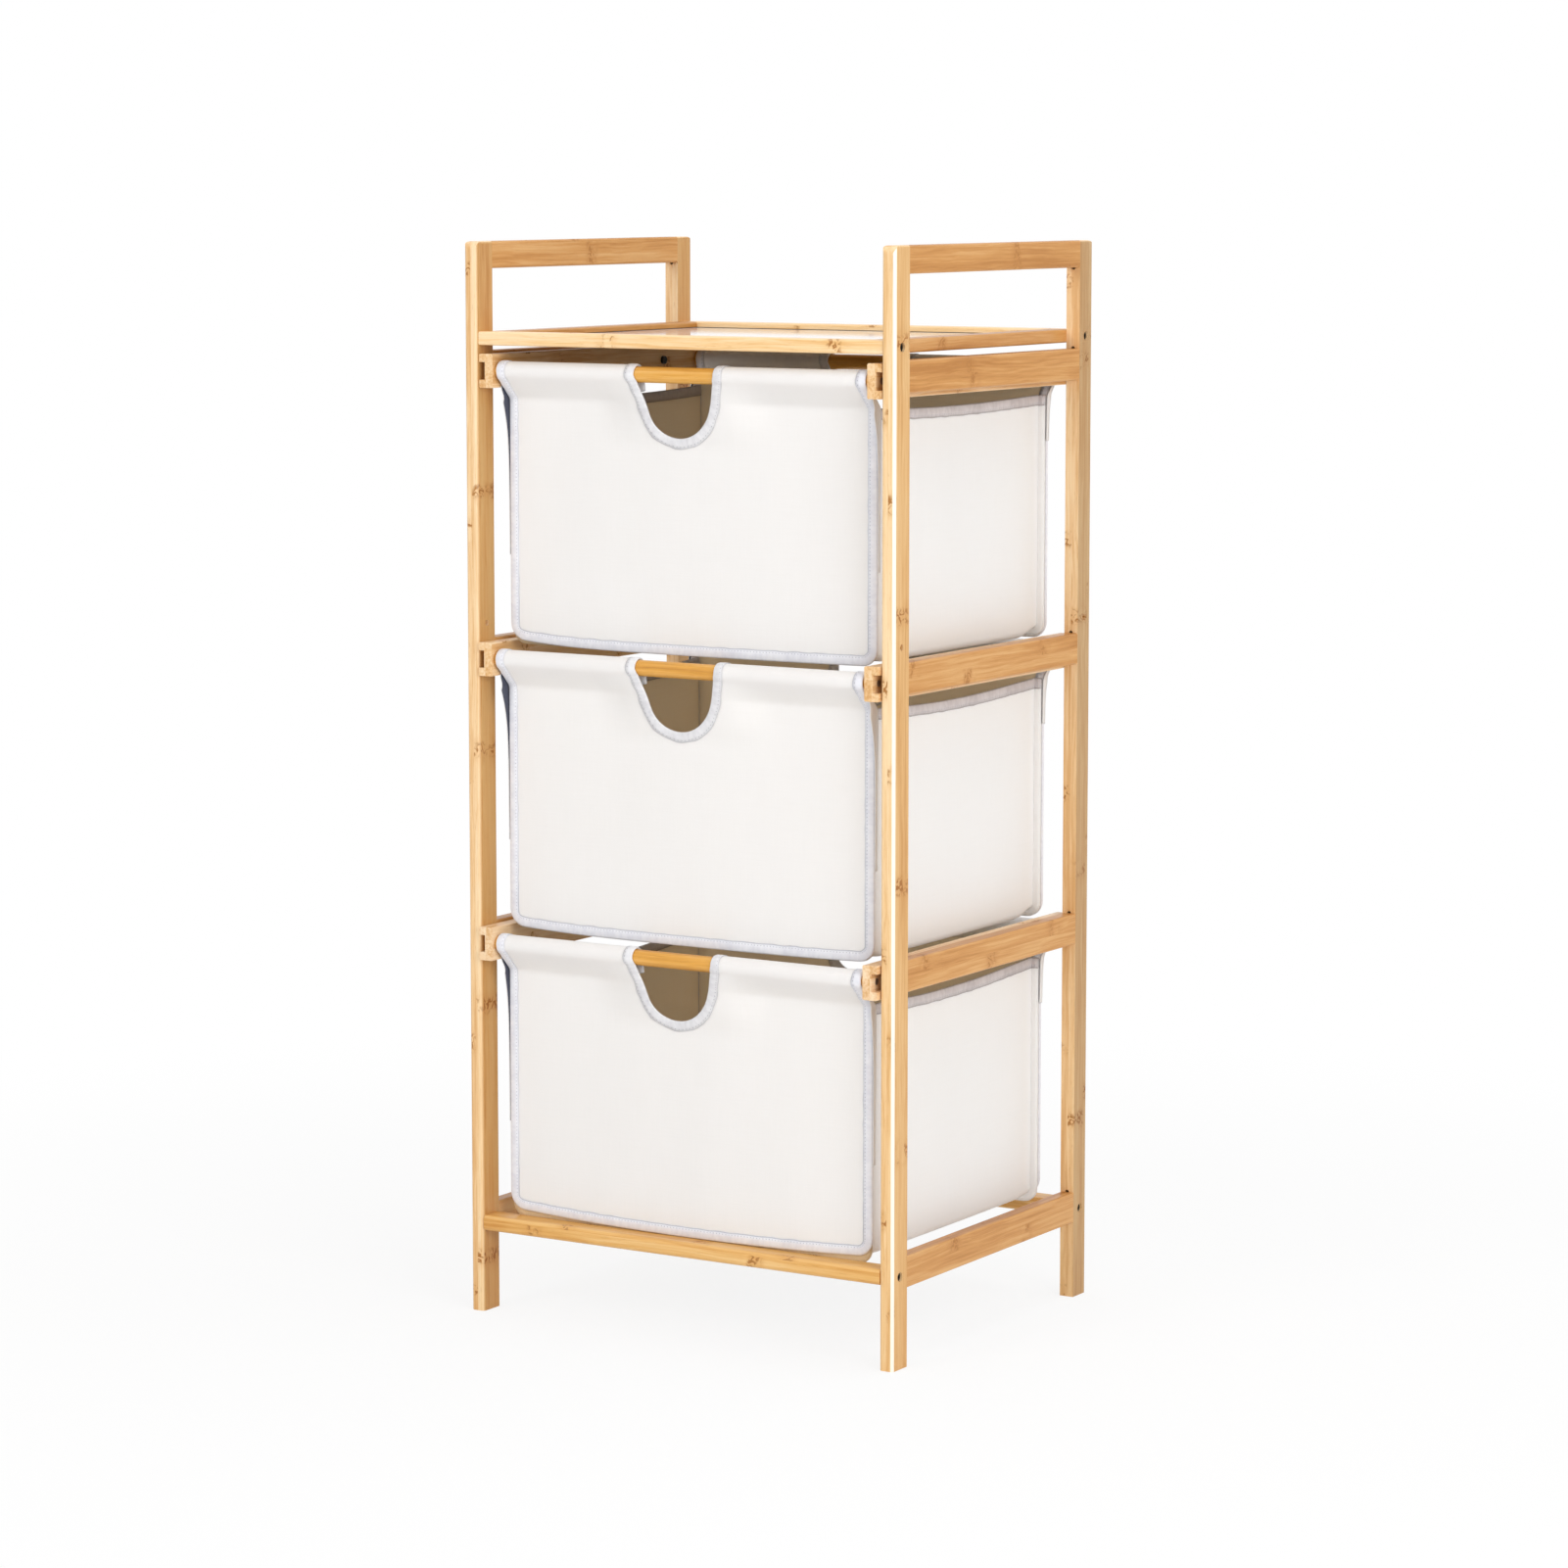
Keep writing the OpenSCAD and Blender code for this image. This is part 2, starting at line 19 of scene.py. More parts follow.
import bmesh
import bpy
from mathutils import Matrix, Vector

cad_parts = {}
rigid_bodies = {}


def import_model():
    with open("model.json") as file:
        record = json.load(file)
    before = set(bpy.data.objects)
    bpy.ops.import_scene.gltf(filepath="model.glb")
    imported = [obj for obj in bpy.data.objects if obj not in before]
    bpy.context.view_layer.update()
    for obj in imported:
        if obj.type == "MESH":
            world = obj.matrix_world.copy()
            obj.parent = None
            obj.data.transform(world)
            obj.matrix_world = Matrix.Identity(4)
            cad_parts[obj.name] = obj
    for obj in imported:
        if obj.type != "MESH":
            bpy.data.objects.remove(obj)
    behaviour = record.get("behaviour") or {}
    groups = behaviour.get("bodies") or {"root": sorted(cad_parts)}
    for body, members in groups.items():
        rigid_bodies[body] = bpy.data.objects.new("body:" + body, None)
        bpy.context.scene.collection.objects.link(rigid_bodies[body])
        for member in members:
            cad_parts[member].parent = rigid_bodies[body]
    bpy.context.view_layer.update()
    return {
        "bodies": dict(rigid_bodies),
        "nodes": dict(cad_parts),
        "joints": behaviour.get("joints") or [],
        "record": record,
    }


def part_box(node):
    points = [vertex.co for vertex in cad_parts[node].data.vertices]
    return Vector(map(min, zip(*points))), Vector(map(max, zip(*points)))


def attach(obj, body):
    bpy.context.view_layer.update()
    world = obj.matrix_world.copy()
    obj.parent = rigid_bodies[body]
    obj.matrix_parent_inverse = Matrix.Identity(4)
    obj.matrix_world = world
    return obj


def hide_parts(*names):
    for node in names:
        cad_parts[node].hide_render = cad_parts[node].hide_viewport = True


LOG = logging.getLogger("cloth_drawer_unit")
MM = 0.001
Colour = tuple[float, float, float]
Place = tuple[float, float, float]
Spot = tuple[float, float]  # Place in a plane
WHITE: Colour = (1.0, 1.0, 1.0)


class Grain(Enum):
    """Direction that a piece's fibres run in, with the axes along them and across them."""

    ACROSS = (0, 1, 2)
    DEEP = (1, 0, 2)
    UPRIGHT = (2, 0, 1)


class End(Enum):
    """End of a drawer, with the sign that points from the inside out along Y."""

    FRONT = -1
    REAR = 1


class Tier(Enum):
    """Drawers, counted from the top."""

    TOP = "top"
    MIDDLE = "middle"
    LOW = "low"


def smooth(low: float, high: float, value: float) -> float:
    """Eases from 0 at low to 1 at high."""
    share = min(1.0, max(0.0, (value - low) / (high - low)))
    return share * share * (3 - 2 * share)


def distances(line: Sequence[Spot]) -> list[float]:
    """Distance of each point from the first one, along the line."""
    return list(accumulate(map(math.dist, line, line[1:]), initial=0.0))


def arc(middle: Spot, radius: float, start: float, stop: float, count: int) -> list[Spot]:
    """Points on an arc from one angle in degrees to another, in a number of steps."""
    turns = [math.radians(start + (stop - start) * k / count) for k in range(count + 1)]
    return [(middle[0] + radius * math.cos(turn), middle[1] + radius * math.sin(turn)) for turn in turns]


def show(name: str, data: bpy.types.ID) -> bpy.types.Object:
    """Puts a mesh, a lamp or a camera into the scene.

    Args:
        name: The new object's name.
        data: What it shows.

    Returns:
        The object.
    """
    made = bpy.data.objects.new(name, data)
    bpy.context.scene.collection.objects.link(made)
    return made


def math_node(operation: str, turned: bool = False) -> Callable[..., Value]:
    """Writes a method that adds a Math node.

    Args:
        operation: The node's operation.
        turned: Whether the value comes after the other one.

    Returns:
        A method of a value, whose arguments are the node's other inputs.
    """
    def method(self: Value, *others: Number) -> Value:
        """Result of the node."""
        return self.graph.math(operation, *((*others, self) if turned else (self, *others)))
    return method


class Value:
    """A node's output socket, with arithmetic that adds Math nodes."""

    __add__ = __radd__ = math_node("ADD")
    __sub__ = math_node("SUBTRACT")
    __rsub__ = math_node("SUBTRACT", turned=True)
    __mul__ = __rmul__ = math_node("MULTIPLY")
    __truediv__ = math_node("DIVIDE")
    floor = math_node("FLOOR")
    part = math_node("FRACT")
    size = math_node("ABSOLUTE")
    sine = math_node("SINE")
    root = math_node("SQRT")
    most = math_node("MAXIMUM")

    def __init__(self, graph: Graph, socket: bpy.types.NodeSocket) -> None:
        """Wraps a socket of the graph."""
        self.graph = graph
        self.socket = socket

    def step(self, low: float, high: float) -> Value:
        """Eases from 0 at low to 1 at high."""
        reach = {"Value": self, "From Min": low, "From Max": high}
        return self.graph.value("MapRange", reach, interpolation_type="SMOOTHSTEP")


Number = Union[Value, float]
Gap = Callable[[Sequence[Vector]], bool]


class Graph:
    """Nodes of a material or a world, with one method that makes any of them."""

    def __init__(self, owner: bpy.types.Material | bpy.types.World) -> None:
        """Empties the owner's node tree.

        Args:
            owner: The material or world.
        """
        owner.use_nodes = True
        self.tree = owner.node_tree
        self.tree.nodes.clear()

    def node(self, kind: str, inputs: dict[Any, Any], **settings: Any) -> bpy.types.Node:
        """Makes a node.

        Args:
            kind: The node's type, less the first words that all types share.
            inputs: Values or links for its sockets, by name or by place.
            settings: Its properties, set before its sockets. "stops" holds a colour ramp's stops.

        Returns:
            The node.
        """
        made = self.tree.nodes.new(f"ShaderNode{kind}")
        for key, setting in settings.items():
            if key == "stops":
                self.set_stops(made.color_ramp.elements, setting)
            else:
                setattr(made, key, setting)
        for key, given in inputs.items():
            if isinstance(given, Value):
                self.tree.links.new(given.socket, made.inputs[key])
            elif isinstance(given, tuple) and made.inputs[key].type == "RGBA":
                made.inputs[key].default_value = (*given, 1.0)
            else:
                made.inputs[key].default_value = given
        return made

    @staticmethod
    def set_stops(elements: bpy.types.ColorRampElements, stops: Sequence[tuple[float, Colour]]) -> None:
        """Sets a ramp's stops.

        Args:
            elements: The ramp's two first stops.
            stops: Place and colour of each stop, in order.
        """
        for _ in stops[2:]:
            elements.new(1.0)
        for element, (place, colour) in zip(elements, stops):
            element.position, element.color = place, (*colour, 1.0)

    def value(self, kind: str, inputs: dict[Any, Any], output: Any = 0, **settings: Any) -> Value:
        """Makes a node and gives one of its outputs, by name or by place."""
        return Value(self, self.node(kind, inputs, **settings).outputs[output])

    def math(self, operation: str, *numbers: Number) -> Value:
        """Adds a Math node."""
        return self.value("Math", dict(enumerate(numbers)), operation=operation)

    def parts(self, vector: Value) -> tuple[Value, Value, Value]:
        """Parts of a vector along X, Y and Z."""
        made = self.node("SeparateXYZ", {0: vector})
        return tuple(Value(self, output) for output in made.outputs)

    def place(self) -> tuple[Value, Value, Value]:
        """Place on the piece at rest, along X, Y and Z."""
        return self.parts(self.value("TexCoord", {}, "Object"))

    def facing(self) -> tuple[Value, Value, Value]:
        """Direction that the surface faces, along X, Y and Z."""
        return self.parts(self.value("NewGeometry", {}, "Normal"))

    def cloth_place(self) -> tuple[Value, Value]:
        """Place on a sheet of cloth before it was sewn, across the sheet and along it."""
        return self.parts(self.value("UVMap", {}, uv_map=Sheet.MAP))[:2]

    def in_view(self) -> Value:
        """1 for what the camera or a reflection sees, and 0 for other light."""
        seen = self.node("LightPath", {}).outputs
        return Value(self, seen["Is Camera Ray"]).most(Value(self, seen["Is Glossy Ray"]))

    def joined(self, x: Number, y: Number, z: Number) -> Value:
        """Vector with the three parts."""
        return self.value("CombineXYZ", {0: x, 1: y, 2: z})

    def noise(self, x: Number, y: Number, z: Number, detail: float, rough: float = 0.5) -> Value:
        """Soft noise about 0.5 with cells of size 1, with a number of finer layers and their weight."""
        inputs = {"Vector": self.joined(x, y, z), "Scale": 1.0, "Detail": detail, "Roughness": rough}
        return self.value("TexNoise", inputs, "Fac")

    def cloud(self, cells: float, detail: float) -> Value:
        """Soft noise over the piece, alike in all directions."""
        x, y, z = self.place()
        return self.noise(x * cells, y * cells, z * cells, detail)

    def chance(self, x: Number, y: Number, z: Number) -> Value:
        """Random value from 0 to 1 that is the same all over a cell."""
        return self.value("TexWhiteNoise", {"Vector": self.joined(x, y, z)}, "Value")

    def blend(self, share: Number, first: Any, second: Any, kind: str = "MIX") -> Value:
        """Lays a second colour over the first by a share."""
        return self.value("Mix", {0: share, 6: first, 7: second}, 2, data_type="RGBA", blend_type=kind)

    def ramp(self, share: Value, *stops: tuple[float, Colour]) -> Value:
        """Colour at a share of the way along a ramp."""
        return self.value("ValToRGB", {0: share}, stops=stops)

    def bump(self, height: Value, depth: float, strength: float, **below: Value) -> Value:
        """Normal of a surface with relief from 0 to 1 times a depth, over another normal if one is given."""
        return self.value("Bump", {"Strength": strength, "Distance": depth, "Height": height, **below})

    def surface(self, inputs: dict[str, Any], through: float = 0.0) -> None:
        """Ends the material with a Principled surface.

        Args:
            inputs: Values or links for the surface's sockets.
            through: Share of the light that shines through, as thin cloth lets it.
        """
        shader = self.value("BsdfPrincipled", inputs)
        if through:
            thin = self.value("BsdfTranslucent", {"Color": inputs["Base Color"]})
            shader = self.value("MixShader", {0: through, 1: shader, 2: thin})
        self.node("OutputMaterial", {"Surface": shader})


@dataclass(frozen=True)
class Finish(ABC):
    """A finish that makes its material once."""

    MADE: ClassVar[dict[Finish, bpy.types.Material]] = {}
    name: str

    def material(self) -> bpy.types.Material:
        """Makes the finish's material at its first use.

        Returns:
            The material.
        """
        if self not in self.MADE:
            self.MADE[self] = bpy.data.materials.new(self.name)
            self.paint(Graph(self.MADE[self]))
        return self.MADE[self]

    @abstractmethod
    def paint(self, graph: Graph) -> None:
        """Builds the material's nodes.

        Args:
            graph: The material's empty graph.
        """


@dataclass(frozen=True)
class Bamboo(Finish):
    """Laminated bamboo: strips side by side, fine fibres, a mark where the cane had a node, painted shade by
    face direction and height, and a painted arris highlight.
    """

    grain: Grain
    dark: Colour = (0.68, 0.37, 0.125)
    mid: Colour = (0.85, 0.565, 0.28)
    light: Colour = (0.94, 0.71, 0.43)
    mark: Colour = (0.42, 0.18, 0.045)
    # Colour of a painted highlight on an arris
    bare: Colour = (0.98, 0.94, 0.82)
    # side, top and foot: painted shade multiplied in on sideways faces (partly their own edge grain), on tops
    # and towards the floor
    side: Colour = WHITE
    foot: Colour = WHITE
    top: Colour = WHITE
    strip: float = 6.75 * MM
    block: float = 85 * MM
    edge: float = 220 * MM
    node_gap: float = 0.23
    contrast: float = 1.0
    edge_wear: float = 0.2
    # Share of that painted highlight on arrises that face front and right
    bare_arris: float = 0.0

    def paint(self, graph: Graph) -> None:
        """Builds the material's nodes.

        Args:
            graph: The material's empty graph.
        """
        place = graph.place()
        along, u, v = (place[axis] for axis in self.grain.value)
        # Strips, each with a tone and a length of cane of its own
        strips = (self.edge - u.size()) / self.strip
        own = graph.chance(strips.floor(), (v / self.block).floor(), u.step(-0.001, 0.001))
        shift = own * 7.3
        # Fibres that wander a little
        drift = (graph.noise(u * 14 + shift, v * 14, along * 9 + shift, 2.0) - 0.5) * (9 * MM)
        wide = graph.noise((u + drift) * 60 + shift, (v + drift) * 60, along * 3.5 + shift, 2.0)
        streak = graph.noise((u + drift) * 380, (v + drift) * 380, along * 9 + shift, 4.0, 0.6)
        fibre = graph.noise(u * 2200, v * 2200, along * 45, 2.0, 0.6)
        tone = ((own - 0.5) * (0.30 * self.contrast) + (wide - 0.5) * 1.35 + (streak - 0.5) * 1.6
                + (fibre - 0.5) * 0.45)
        colour = graph.ramp(tone + 0.5, (0.08, self.dark), (0.5, self.mid), (0.92, self.light))
        # Marks where the cane had a node
        ripple = graph.noise(u * 90, v * 90, along * 60 + shift, 3.0, 0.7)
        cane = along / self.node_gap + own * 5.17 + (ripple - 0.5) * 0.06
        off = (cane.part() - 0.5).size() * self.node_gap
        curl = graph.noise(u * 85, v * 85, along * 80 + shift, 2.0, 0.6)
        line = 1 - ((curl * 6).part() - 0.5).size().step(0.08, 0.32)
        patch = graph.noise(u * 60, v * 60, along * 70 + shift, 1.0).step(0.34, 0.54)
        ring = (1 - off.step(3 * MM, 9 * MM)) * line * patch
        halo = (1 - off.step(3 * MM, 17 * MM)) * patch
        colour = graph.blend(halo * (0.42 * self.contrast), colour, self.dark)
        colour = graph.blend(ring * self.contrast, colour, self.mark)
        # Pores, and glue lines between the strips
        pore = graph.noise(u * 1500, v * 1500, along * 120, 1.0).step(0.66, 0.74)
        colour = graph.blend(pore * 0.22, colour, self.mark)
        glue = 1 - (strips.part() - 0.5).size().step(0.40, 0.497) * 0.12
        colour = graph.blend(1 - glue, colour, self.dark)
        # Painted shade: sideways faces (partly the strips' own edge grain), tops and the foot tinted as light
        # falls on them; arrises with less lacquer, and a painted highlight on one arris
        out_x, out_y, out_z = graph.facing()
        for share, tint in ((out_x.size().step(0.5, 0.9), self.side), (out_z.step(0.5, 0.9), self.top),
                            (1 - place[2].step(-0.25, 0.75), self.foot)):
            colour = graph.blend(share, colour, tint, "MULTIPLY")
        square = out_x.size().most(out_y.size()).most(out_z.size())
        colour = graph.blend((1 - square.step(0.86, 0.98)) * self.edge_wear, colour, self.light)
        # Painted highlight along the rounded arris between the front and right faces
        if self.bare_arris:
            arris = out_x.step(0.10, 0.30) * (0 - out_y).step(0.10, 0.30)
            colour = graph.blend(arris * self.bare_arris, colour, self.bare)
        height = fibre * 0.5 + streak * 0.35 - ring * 0.5 - pore * 0.3
        graph.surface({
            "Base Color": colour,
            "Roughness": 0.42 + (streak - 0.5) * 0.22 + ring * 0.12,
            "Coat Weight": 0.25 - ring * 0.1,
            "Coat Roughness": 0.14,
            "Specular IOR Level": 0.2,
            "Normal": graph.bump(height, 0.22 * MM, 0.55),
        })


@dataclass(frozen=True)
class WovenCloth(Finish):
    """Smooth plain weave with slubs and faint creases."""

    colour: Colour
    shade: Colour
    thread: float = 0.6 * MM
    relief: float = 0.12 * MM
    sheen: float = 0.12
    crease: float = 0.5
    crease_depth: float = 1.6 * MM
    through: float = 0.0

    def paint(self, graph: Graph) -> None:
        """Builds the material's nodes.

        Args:
            graph: The material's empty graph.
        """
        u, v = graph.cloth_place()
        turn = math.tau / (2 * self.thread)
        weave = (u * turn).sine() * (v * turn).sine()
        warp = graph.noise(u * 900, v * 24, 0.0, 2.0)
        weft = graph.noise(u * 24, v * 900, 5.0, 2.0)
        cloud = graph.noise(u * 9, v * 7, 2.0, 3.0)
        soft = graph.noise(u * 26, v * 8, 9.0, 4.0, 0.55)
        tone = (warp - 0.5) * 0.55 + (weft - 0.5) * 0.55 + (cloud - 0.5) * 0.5 + weave * 0.10 + 0.45
        fine = graph.bump(weave * 0.5 + (warp + weft) * 0.6, self.relief, 0.6)
        graph.surface({
            "Base Color": graph.blend(tone.step(0.0, 1.0), self.colour, self.shade),
            "Roughness": 0.78 + (cloud - 0.5) * 0.12,
            "Sheen Weight": self.sheen,
            "Sheen Roughness": 0.45,
            "Specular IOR Level": 0.25,
            "Normal": graph.bump(soft, self.crease_depth, self.crease, Normal=fine),
        }, self.through)


@dataclass(frozen=True)
class BindingTape(Finish):
    """Ribbed satin tape, stitched down near its inner edge, with painted shade lines where it folds; its
    place runs along and across the tape.
    """

    colour: Colour = (0.86, 0.865, 0.905)
    shade: Colour = (0.73, 0.735, 0.80)
    # rim: colour of the painted shade lines along the folds
    rim: Colour = (0.40, 0.40, 0.46)
    hole: Colour = (0.30, 0.30, 0.36)
    width: float = 9 * MM
    rib: float = 0.9 * MM
    stitch: float = 3.2 * MM
    stitch_in: float = 1.6 * MM
    # crown: share of a painted shade line along the crown
    crown: float = 0.0
    # The fold lines' painted shade is strongest within this reach of the tape's middle, and fades over the
    # next part
    rim_reach: float = 200 * MM
    rim_fade: float = 60 * MM

    def paint(self, graph: Graph) -> None:
        """Builds the material's nodes.

        Args:
            graph: The material's empty graph.
        """
        along, across = graph.cloth_place()
        rib = (along * (math.tau / self.rib)).sine()
        pucker = graph.noise(along * 260, across * 120, 0.0, 3.0)
        wide = graph.noise(along * 40, across * 60, 4.0, 2.0)
        tone = (pucker - 0.5) * 1.1 + (wide - 0.5) * 1.1 + rib * 0.06 + 0.42
        colour = graph.blend(tone.step(0.0, 1.0), self.colour, self.shade)
        # Painted shade where the tape folds: a dark line along its inner edges, strongest near the middle of
        # its length, and along its crown
        fold = 1 - (self.width - across.size()).step(0.0, 0.7 * MM)
        plain = along.size().step(self.rim_reach, self.rim_reach + self.rim_fade)
        top = 1 - across.size().step(0.3 * MM, 1.2 * MM)
        colour = graph.blend(fold * (1 - plain * 0.7) * 0.6, colour, self.rim)
        colour = graph.blend(top * self.crown, colour, self.rim)
        # A line of stitches with a hole at each end
        line = 1 - (across.size() - (self.width - self.stitch_in)).size().step(0.25 * MM, 0.6 * MM)
        dash = ((along / self.stitch).part() - 0.5).size().step(0.10, 0.17)
        colour = graph.blend(line * (1 - dash) * 0.55, colour, self.hole)
        height = rib * 0.16 + pucker * 0.9 + line * dash * 0.6 - line * 0.5
        graph.surface({
            "Base Color": colour,
            "Roughness": 0.46 + (pucker - 0.5) * 0.25,
            "Sheen Weight": 0.15,
            "Sheen Roughness": 0.4,
            "Specular IOR Level": 0.45,
            "Normal": graph.bump(height, 0.35 * MM, 0.8),
        })


@dataclass(frozen=True)
class GlossPanel(Finish):
    """Glossy white face of the tray's panel, tinted blue as a painted reflection of a pale sky, with faint
    orange peel and wiping marks, and its brown back.
    """

    # White board with a blue tint: painted reflection of a pale sky
    colour: Colour = (0.74, 0.79, 0.87)
    back: Colour = (0.13, 0.075, 0.04)

    def paint(self, graph: Graph) -> None:
        """Builds the material's nodes.

        Args:
            graph: The material's empty graph.
        """
        x, y, z = graph.place()
        wipe = graph.noise(x * 14, y * 900, z * 14, 3.0, 0.7)
        cloud = graph.cloud(8, 2.0)
        shade = tuple(0.94 * part for part in self.colour)
        colour = graph.blend(cloud.step(0.3, 0.7), self.colour, shade)
        under = 1 - graph.facing()[2].step(-0.6, 0.2)
        graph.surface({
            "Base Color": graph.blend(under, colour, self.back),
            "Roughness": 0.10 + wipe.step(0.52, 0.75) * 0.12 + (cloud - 0.5) * 0.06 + under * 0.6,
            "Coat Weight": 0.5 - under * 0.5,
            "Coat Roughness": 0.06,
            "Normal": graph.bump(graph.cloud(260, 2.0), 0.02 * MM, 0.35),
        })


@dataclass(frozen=True)
class Steel(Finish):
    """Screw steel: blackened or zinc plated, with turned rings, small nicks and dull patches."""

    colour: Colour
    worn: Colour
    metal: float
    rough: float

    def paint(self, graph: Graph) -> None:
        """Builds the material's nodes.

        Args:
            graph: The material's empty graph.
        """
        x, y, z = graph.place()
        cloud = graph.cloud(300, 3.0)
        nick = graph.cloud(1600, 1.0).step(0.62, 0.70)
        ring = graph.noise(x * 6000, y * 90, z * 90, 1.0)
        colour = graph.blend(cloud.step(0.25, 0.8), self.colour, tuple(0.8 * part for part in self.colour))
        graph.surface({
            "Base Color": graph.blend(nick * 0.45, colour, self.worn),
            "Metallic": self.metal - cloud * 0.1,
            "Roughness": self.rough + (cloud - 0.5) * 0.25,
            "Normal": graph.bump(ring * 0.6 + nick * 0.4, 0.05 * MM, 0.5),
        })


@dataclass(frozen=True)
class Fibreboard(Finish):
    """Pressed wood fibres in random directions."""

    colour: Colour = (0.40, 0.27, 0.14)
    light: Colour = (0.55, 0.40, 0.23)

    def paint(self, graph: Graph) -> None:
        """Builds the material's nodes.

        Args:
            graph: The material's empty graph.
        """
        x, y, z = graph.place()
        chip = graph.noise(x * 380, y * 1100, z * 900, 4.0, 0.7)
        cross = graph.noise(x * 1100, y * 380, z * 900 + 3, 4.0, 0.7)
        tone = chip * 0.5 + cross * 0.4 + graph.cloud(18, 2.0) * 0.3 - 0.1
        graph.surface({
            "Base Color": graph.blend(tone.step(0.25, 0.75), self.colour, self.light),
            "Roughness": 0.82 + (chip - 0.5) * 0.15,
            "Specular IOR Level": 0.3,
            "Normal": graph.bump(chip + cross, 0.12 * MM, 0.5),
        })


@dataclass(frozen=True)
class FloorPaint(Finish):
    """White paint that the camera and reflections see as nearly white, with the object's shadow."""

    light: Colour = (0.88, 0.88, 0.88)
    dark: Colour = (0.86, 0.86, 0.86)
    shadow: float = 0.15
    near: float = 0.45
    far: float = 1.5

    def paint(self, graph: Graph) -> None:
        """Builds the material's nodes.

        Args:
            graph: The material's empty graph.
        """
        x, y, _ = graph.place()
        colour = graph.blend(graph.cloud(3, 2.0), self.dark, self.light)
        matt = {"Base Color": colour, "Roughness": 0.9, "Specular IOR Level": 0.1}
        layers = {1: graph.value("BsdfPrincipled", matt), 2: graph.value("Emission", {"Color": WHITE})}
        away = (x * x + y * y).root().step(self.near, self.far)
        share = graph.in_view() * (away * self.shadow + (1 - self.shadow))
        graph.node("OutputMaterial", {"Surface": graph.value("MixShader", {0: share, **layers})})


# Uprights: painted shade on sideways faces and towards the floor, set per post to the light it gets
FRAME_UPRIGHT = Bamboo("bamboo_upright", Grain.UPRIGHT, dark=(0.74, 0.43, 0.18), mid=(0.90, 0.63, 0.35),
                       light=(0.96, 0.76, 0.50), side=(0.62, 0.58, 0.51), foot=(0.96, 0.88, 0.74))
# Left posts: a shaded copy, their sideways faces darker as painted shade
SHADED_LEFT_UPRIGHT = replace(FRAME_UPRIGHT, name="bamboo_left", side=(0.67, 0.525, 0.325))
# Front-right post: paler sideways faces and a painted highlight on its front-right arris, both painted light
HIGHLIT_FRONT_RIGHT_POST = Bamboo("bamboo_front_right", Grain.UPRIGHT, side=(0.84, 0.75, 0.60),
                          foot=(0.96, 0.88, 0.74), bare_arris=0.9)
# Planks and rails: tops darkened, painted shade
FRAME_DEEP = Bamboo("bamboo_deep", Grain.DEEP, dark=(0.47, 0.195, 0.038), mid=(0.62, 0.30, 0.085),
                    light=(0.73, 0.42, 0.165), top=(0.84, 0.78, 0.74))
TRAY_WOOD = Bamboo("tray_bamboo", Grain.ACROSS, edge=177 * MM, strip=11 * MM, dark=(0.76, 0.42, 0.14),
                   mid=(0.90, 0.60, 0.29), light=(0.96, 0.73, 0.45))
BASE_WOOD = replace(TRAY_WOOD, name="base_bamboo", dark=(0.62, 0.28, 0.06), mid=(0.77, 0.425, 0.125),
                    light=(0.86, 0.55, 0.23))
BAR_WOOD = Bamboo("bar_bamboo", Grain.DEEP, edge=206 * MM, strip=7.25 * MM, dark=(0.66, 0.34, 0.11),
                  mid=(0.83, 0.54, 0.27), light=(0.92, 0.68, 0.42))
# Paler copy for the low drawer's bars: painted light where they look brighter
LIT_LOW_BAR_WOOD = replace(BAR_WOOD, name="pale_bar_bamboo", dark=(0.71, 0.40, 0.16), mid=(0.87, 0.61, 0.36),
                        light=(0.94, 0.74, 0.50))
RUNNER_WOOD = Bamboo("runner_bamboo", Grain.DEEP, dark=(0.36, 0.18, 0.06), mid=(0.50, 0.27, 0.10),
                     light=(0.62, 0.37, 0.16))
ROD_WOOD = Bamboo("rod_wood", Grain.ACROSS, dark=(0.56, 0.25, 0.04), mid=(0.75, 0.37, 0.065),
                  light=(0.85, 0.49, 0.14), strip=50 * MM, contrast=0.35, edge_wear=0.0)
PANEL_CLOTH = WovenCloth("panel_cloth", (0.99, 0.98, 0.97), (0.955, 0.945, 0.93), through=0.15)
SIDE_CLOTH = WovenCloth("side_cloth", (0.98, 0.98, 0.975), (0.945, 0.94, 0.93), through=0.15)
LINING = WovenCloth("lining_cloth", (0.985, 0.87, 0.67), (0.95, 0.81, 0.60), sheen=0.05, through=0.75)
# Near-black inner side of the corner tabs: painted shade of the deep shadow behind the panels' edges
PAINTED_SHADE_LINING = WovenCloth("slate_lining_cloth", (0.085, 0.09, 0.125), (0.05, 0.055, 0.08), sheen=0.05)
TAPE = BindingTape("binding_tape")
CUT_OUT_TAPE = BindingTape("cut_out_tape", (0.83, 0.83, 0.85), (0.64, 0.635, 0.66), rim=(0.62, 0.62, 0.65))
# Hem tape drawn dark grey as painted shade from the plank above, with a painted shade line along its crown
SHADED_HEM_TAPE = BindingTape("hem_tape", (0.66, 0.61, 0.605), (0.51, 0.46, 0.46), rim=(0.33, 0.28, 0.27), crown=0.8)
TRAY_WHITE = GlossPanel("tray_white")
BLACK_STEEL = Steel("black_steel", (0.03, 0.028, 0.025), (0.16, 0.15, 0.14), metal=0.85, rough=0.42)
ZINC_STEEL = Steel("zinc_steel", (0.55, 0.55, 0.56), (0.30, 0.30, 0.31), metal=0.95, rough=0.35)
BOARD = Fibreboard("bottom_fibreboard")
FLOOR_WHITE = FloorPaint("floor_white")


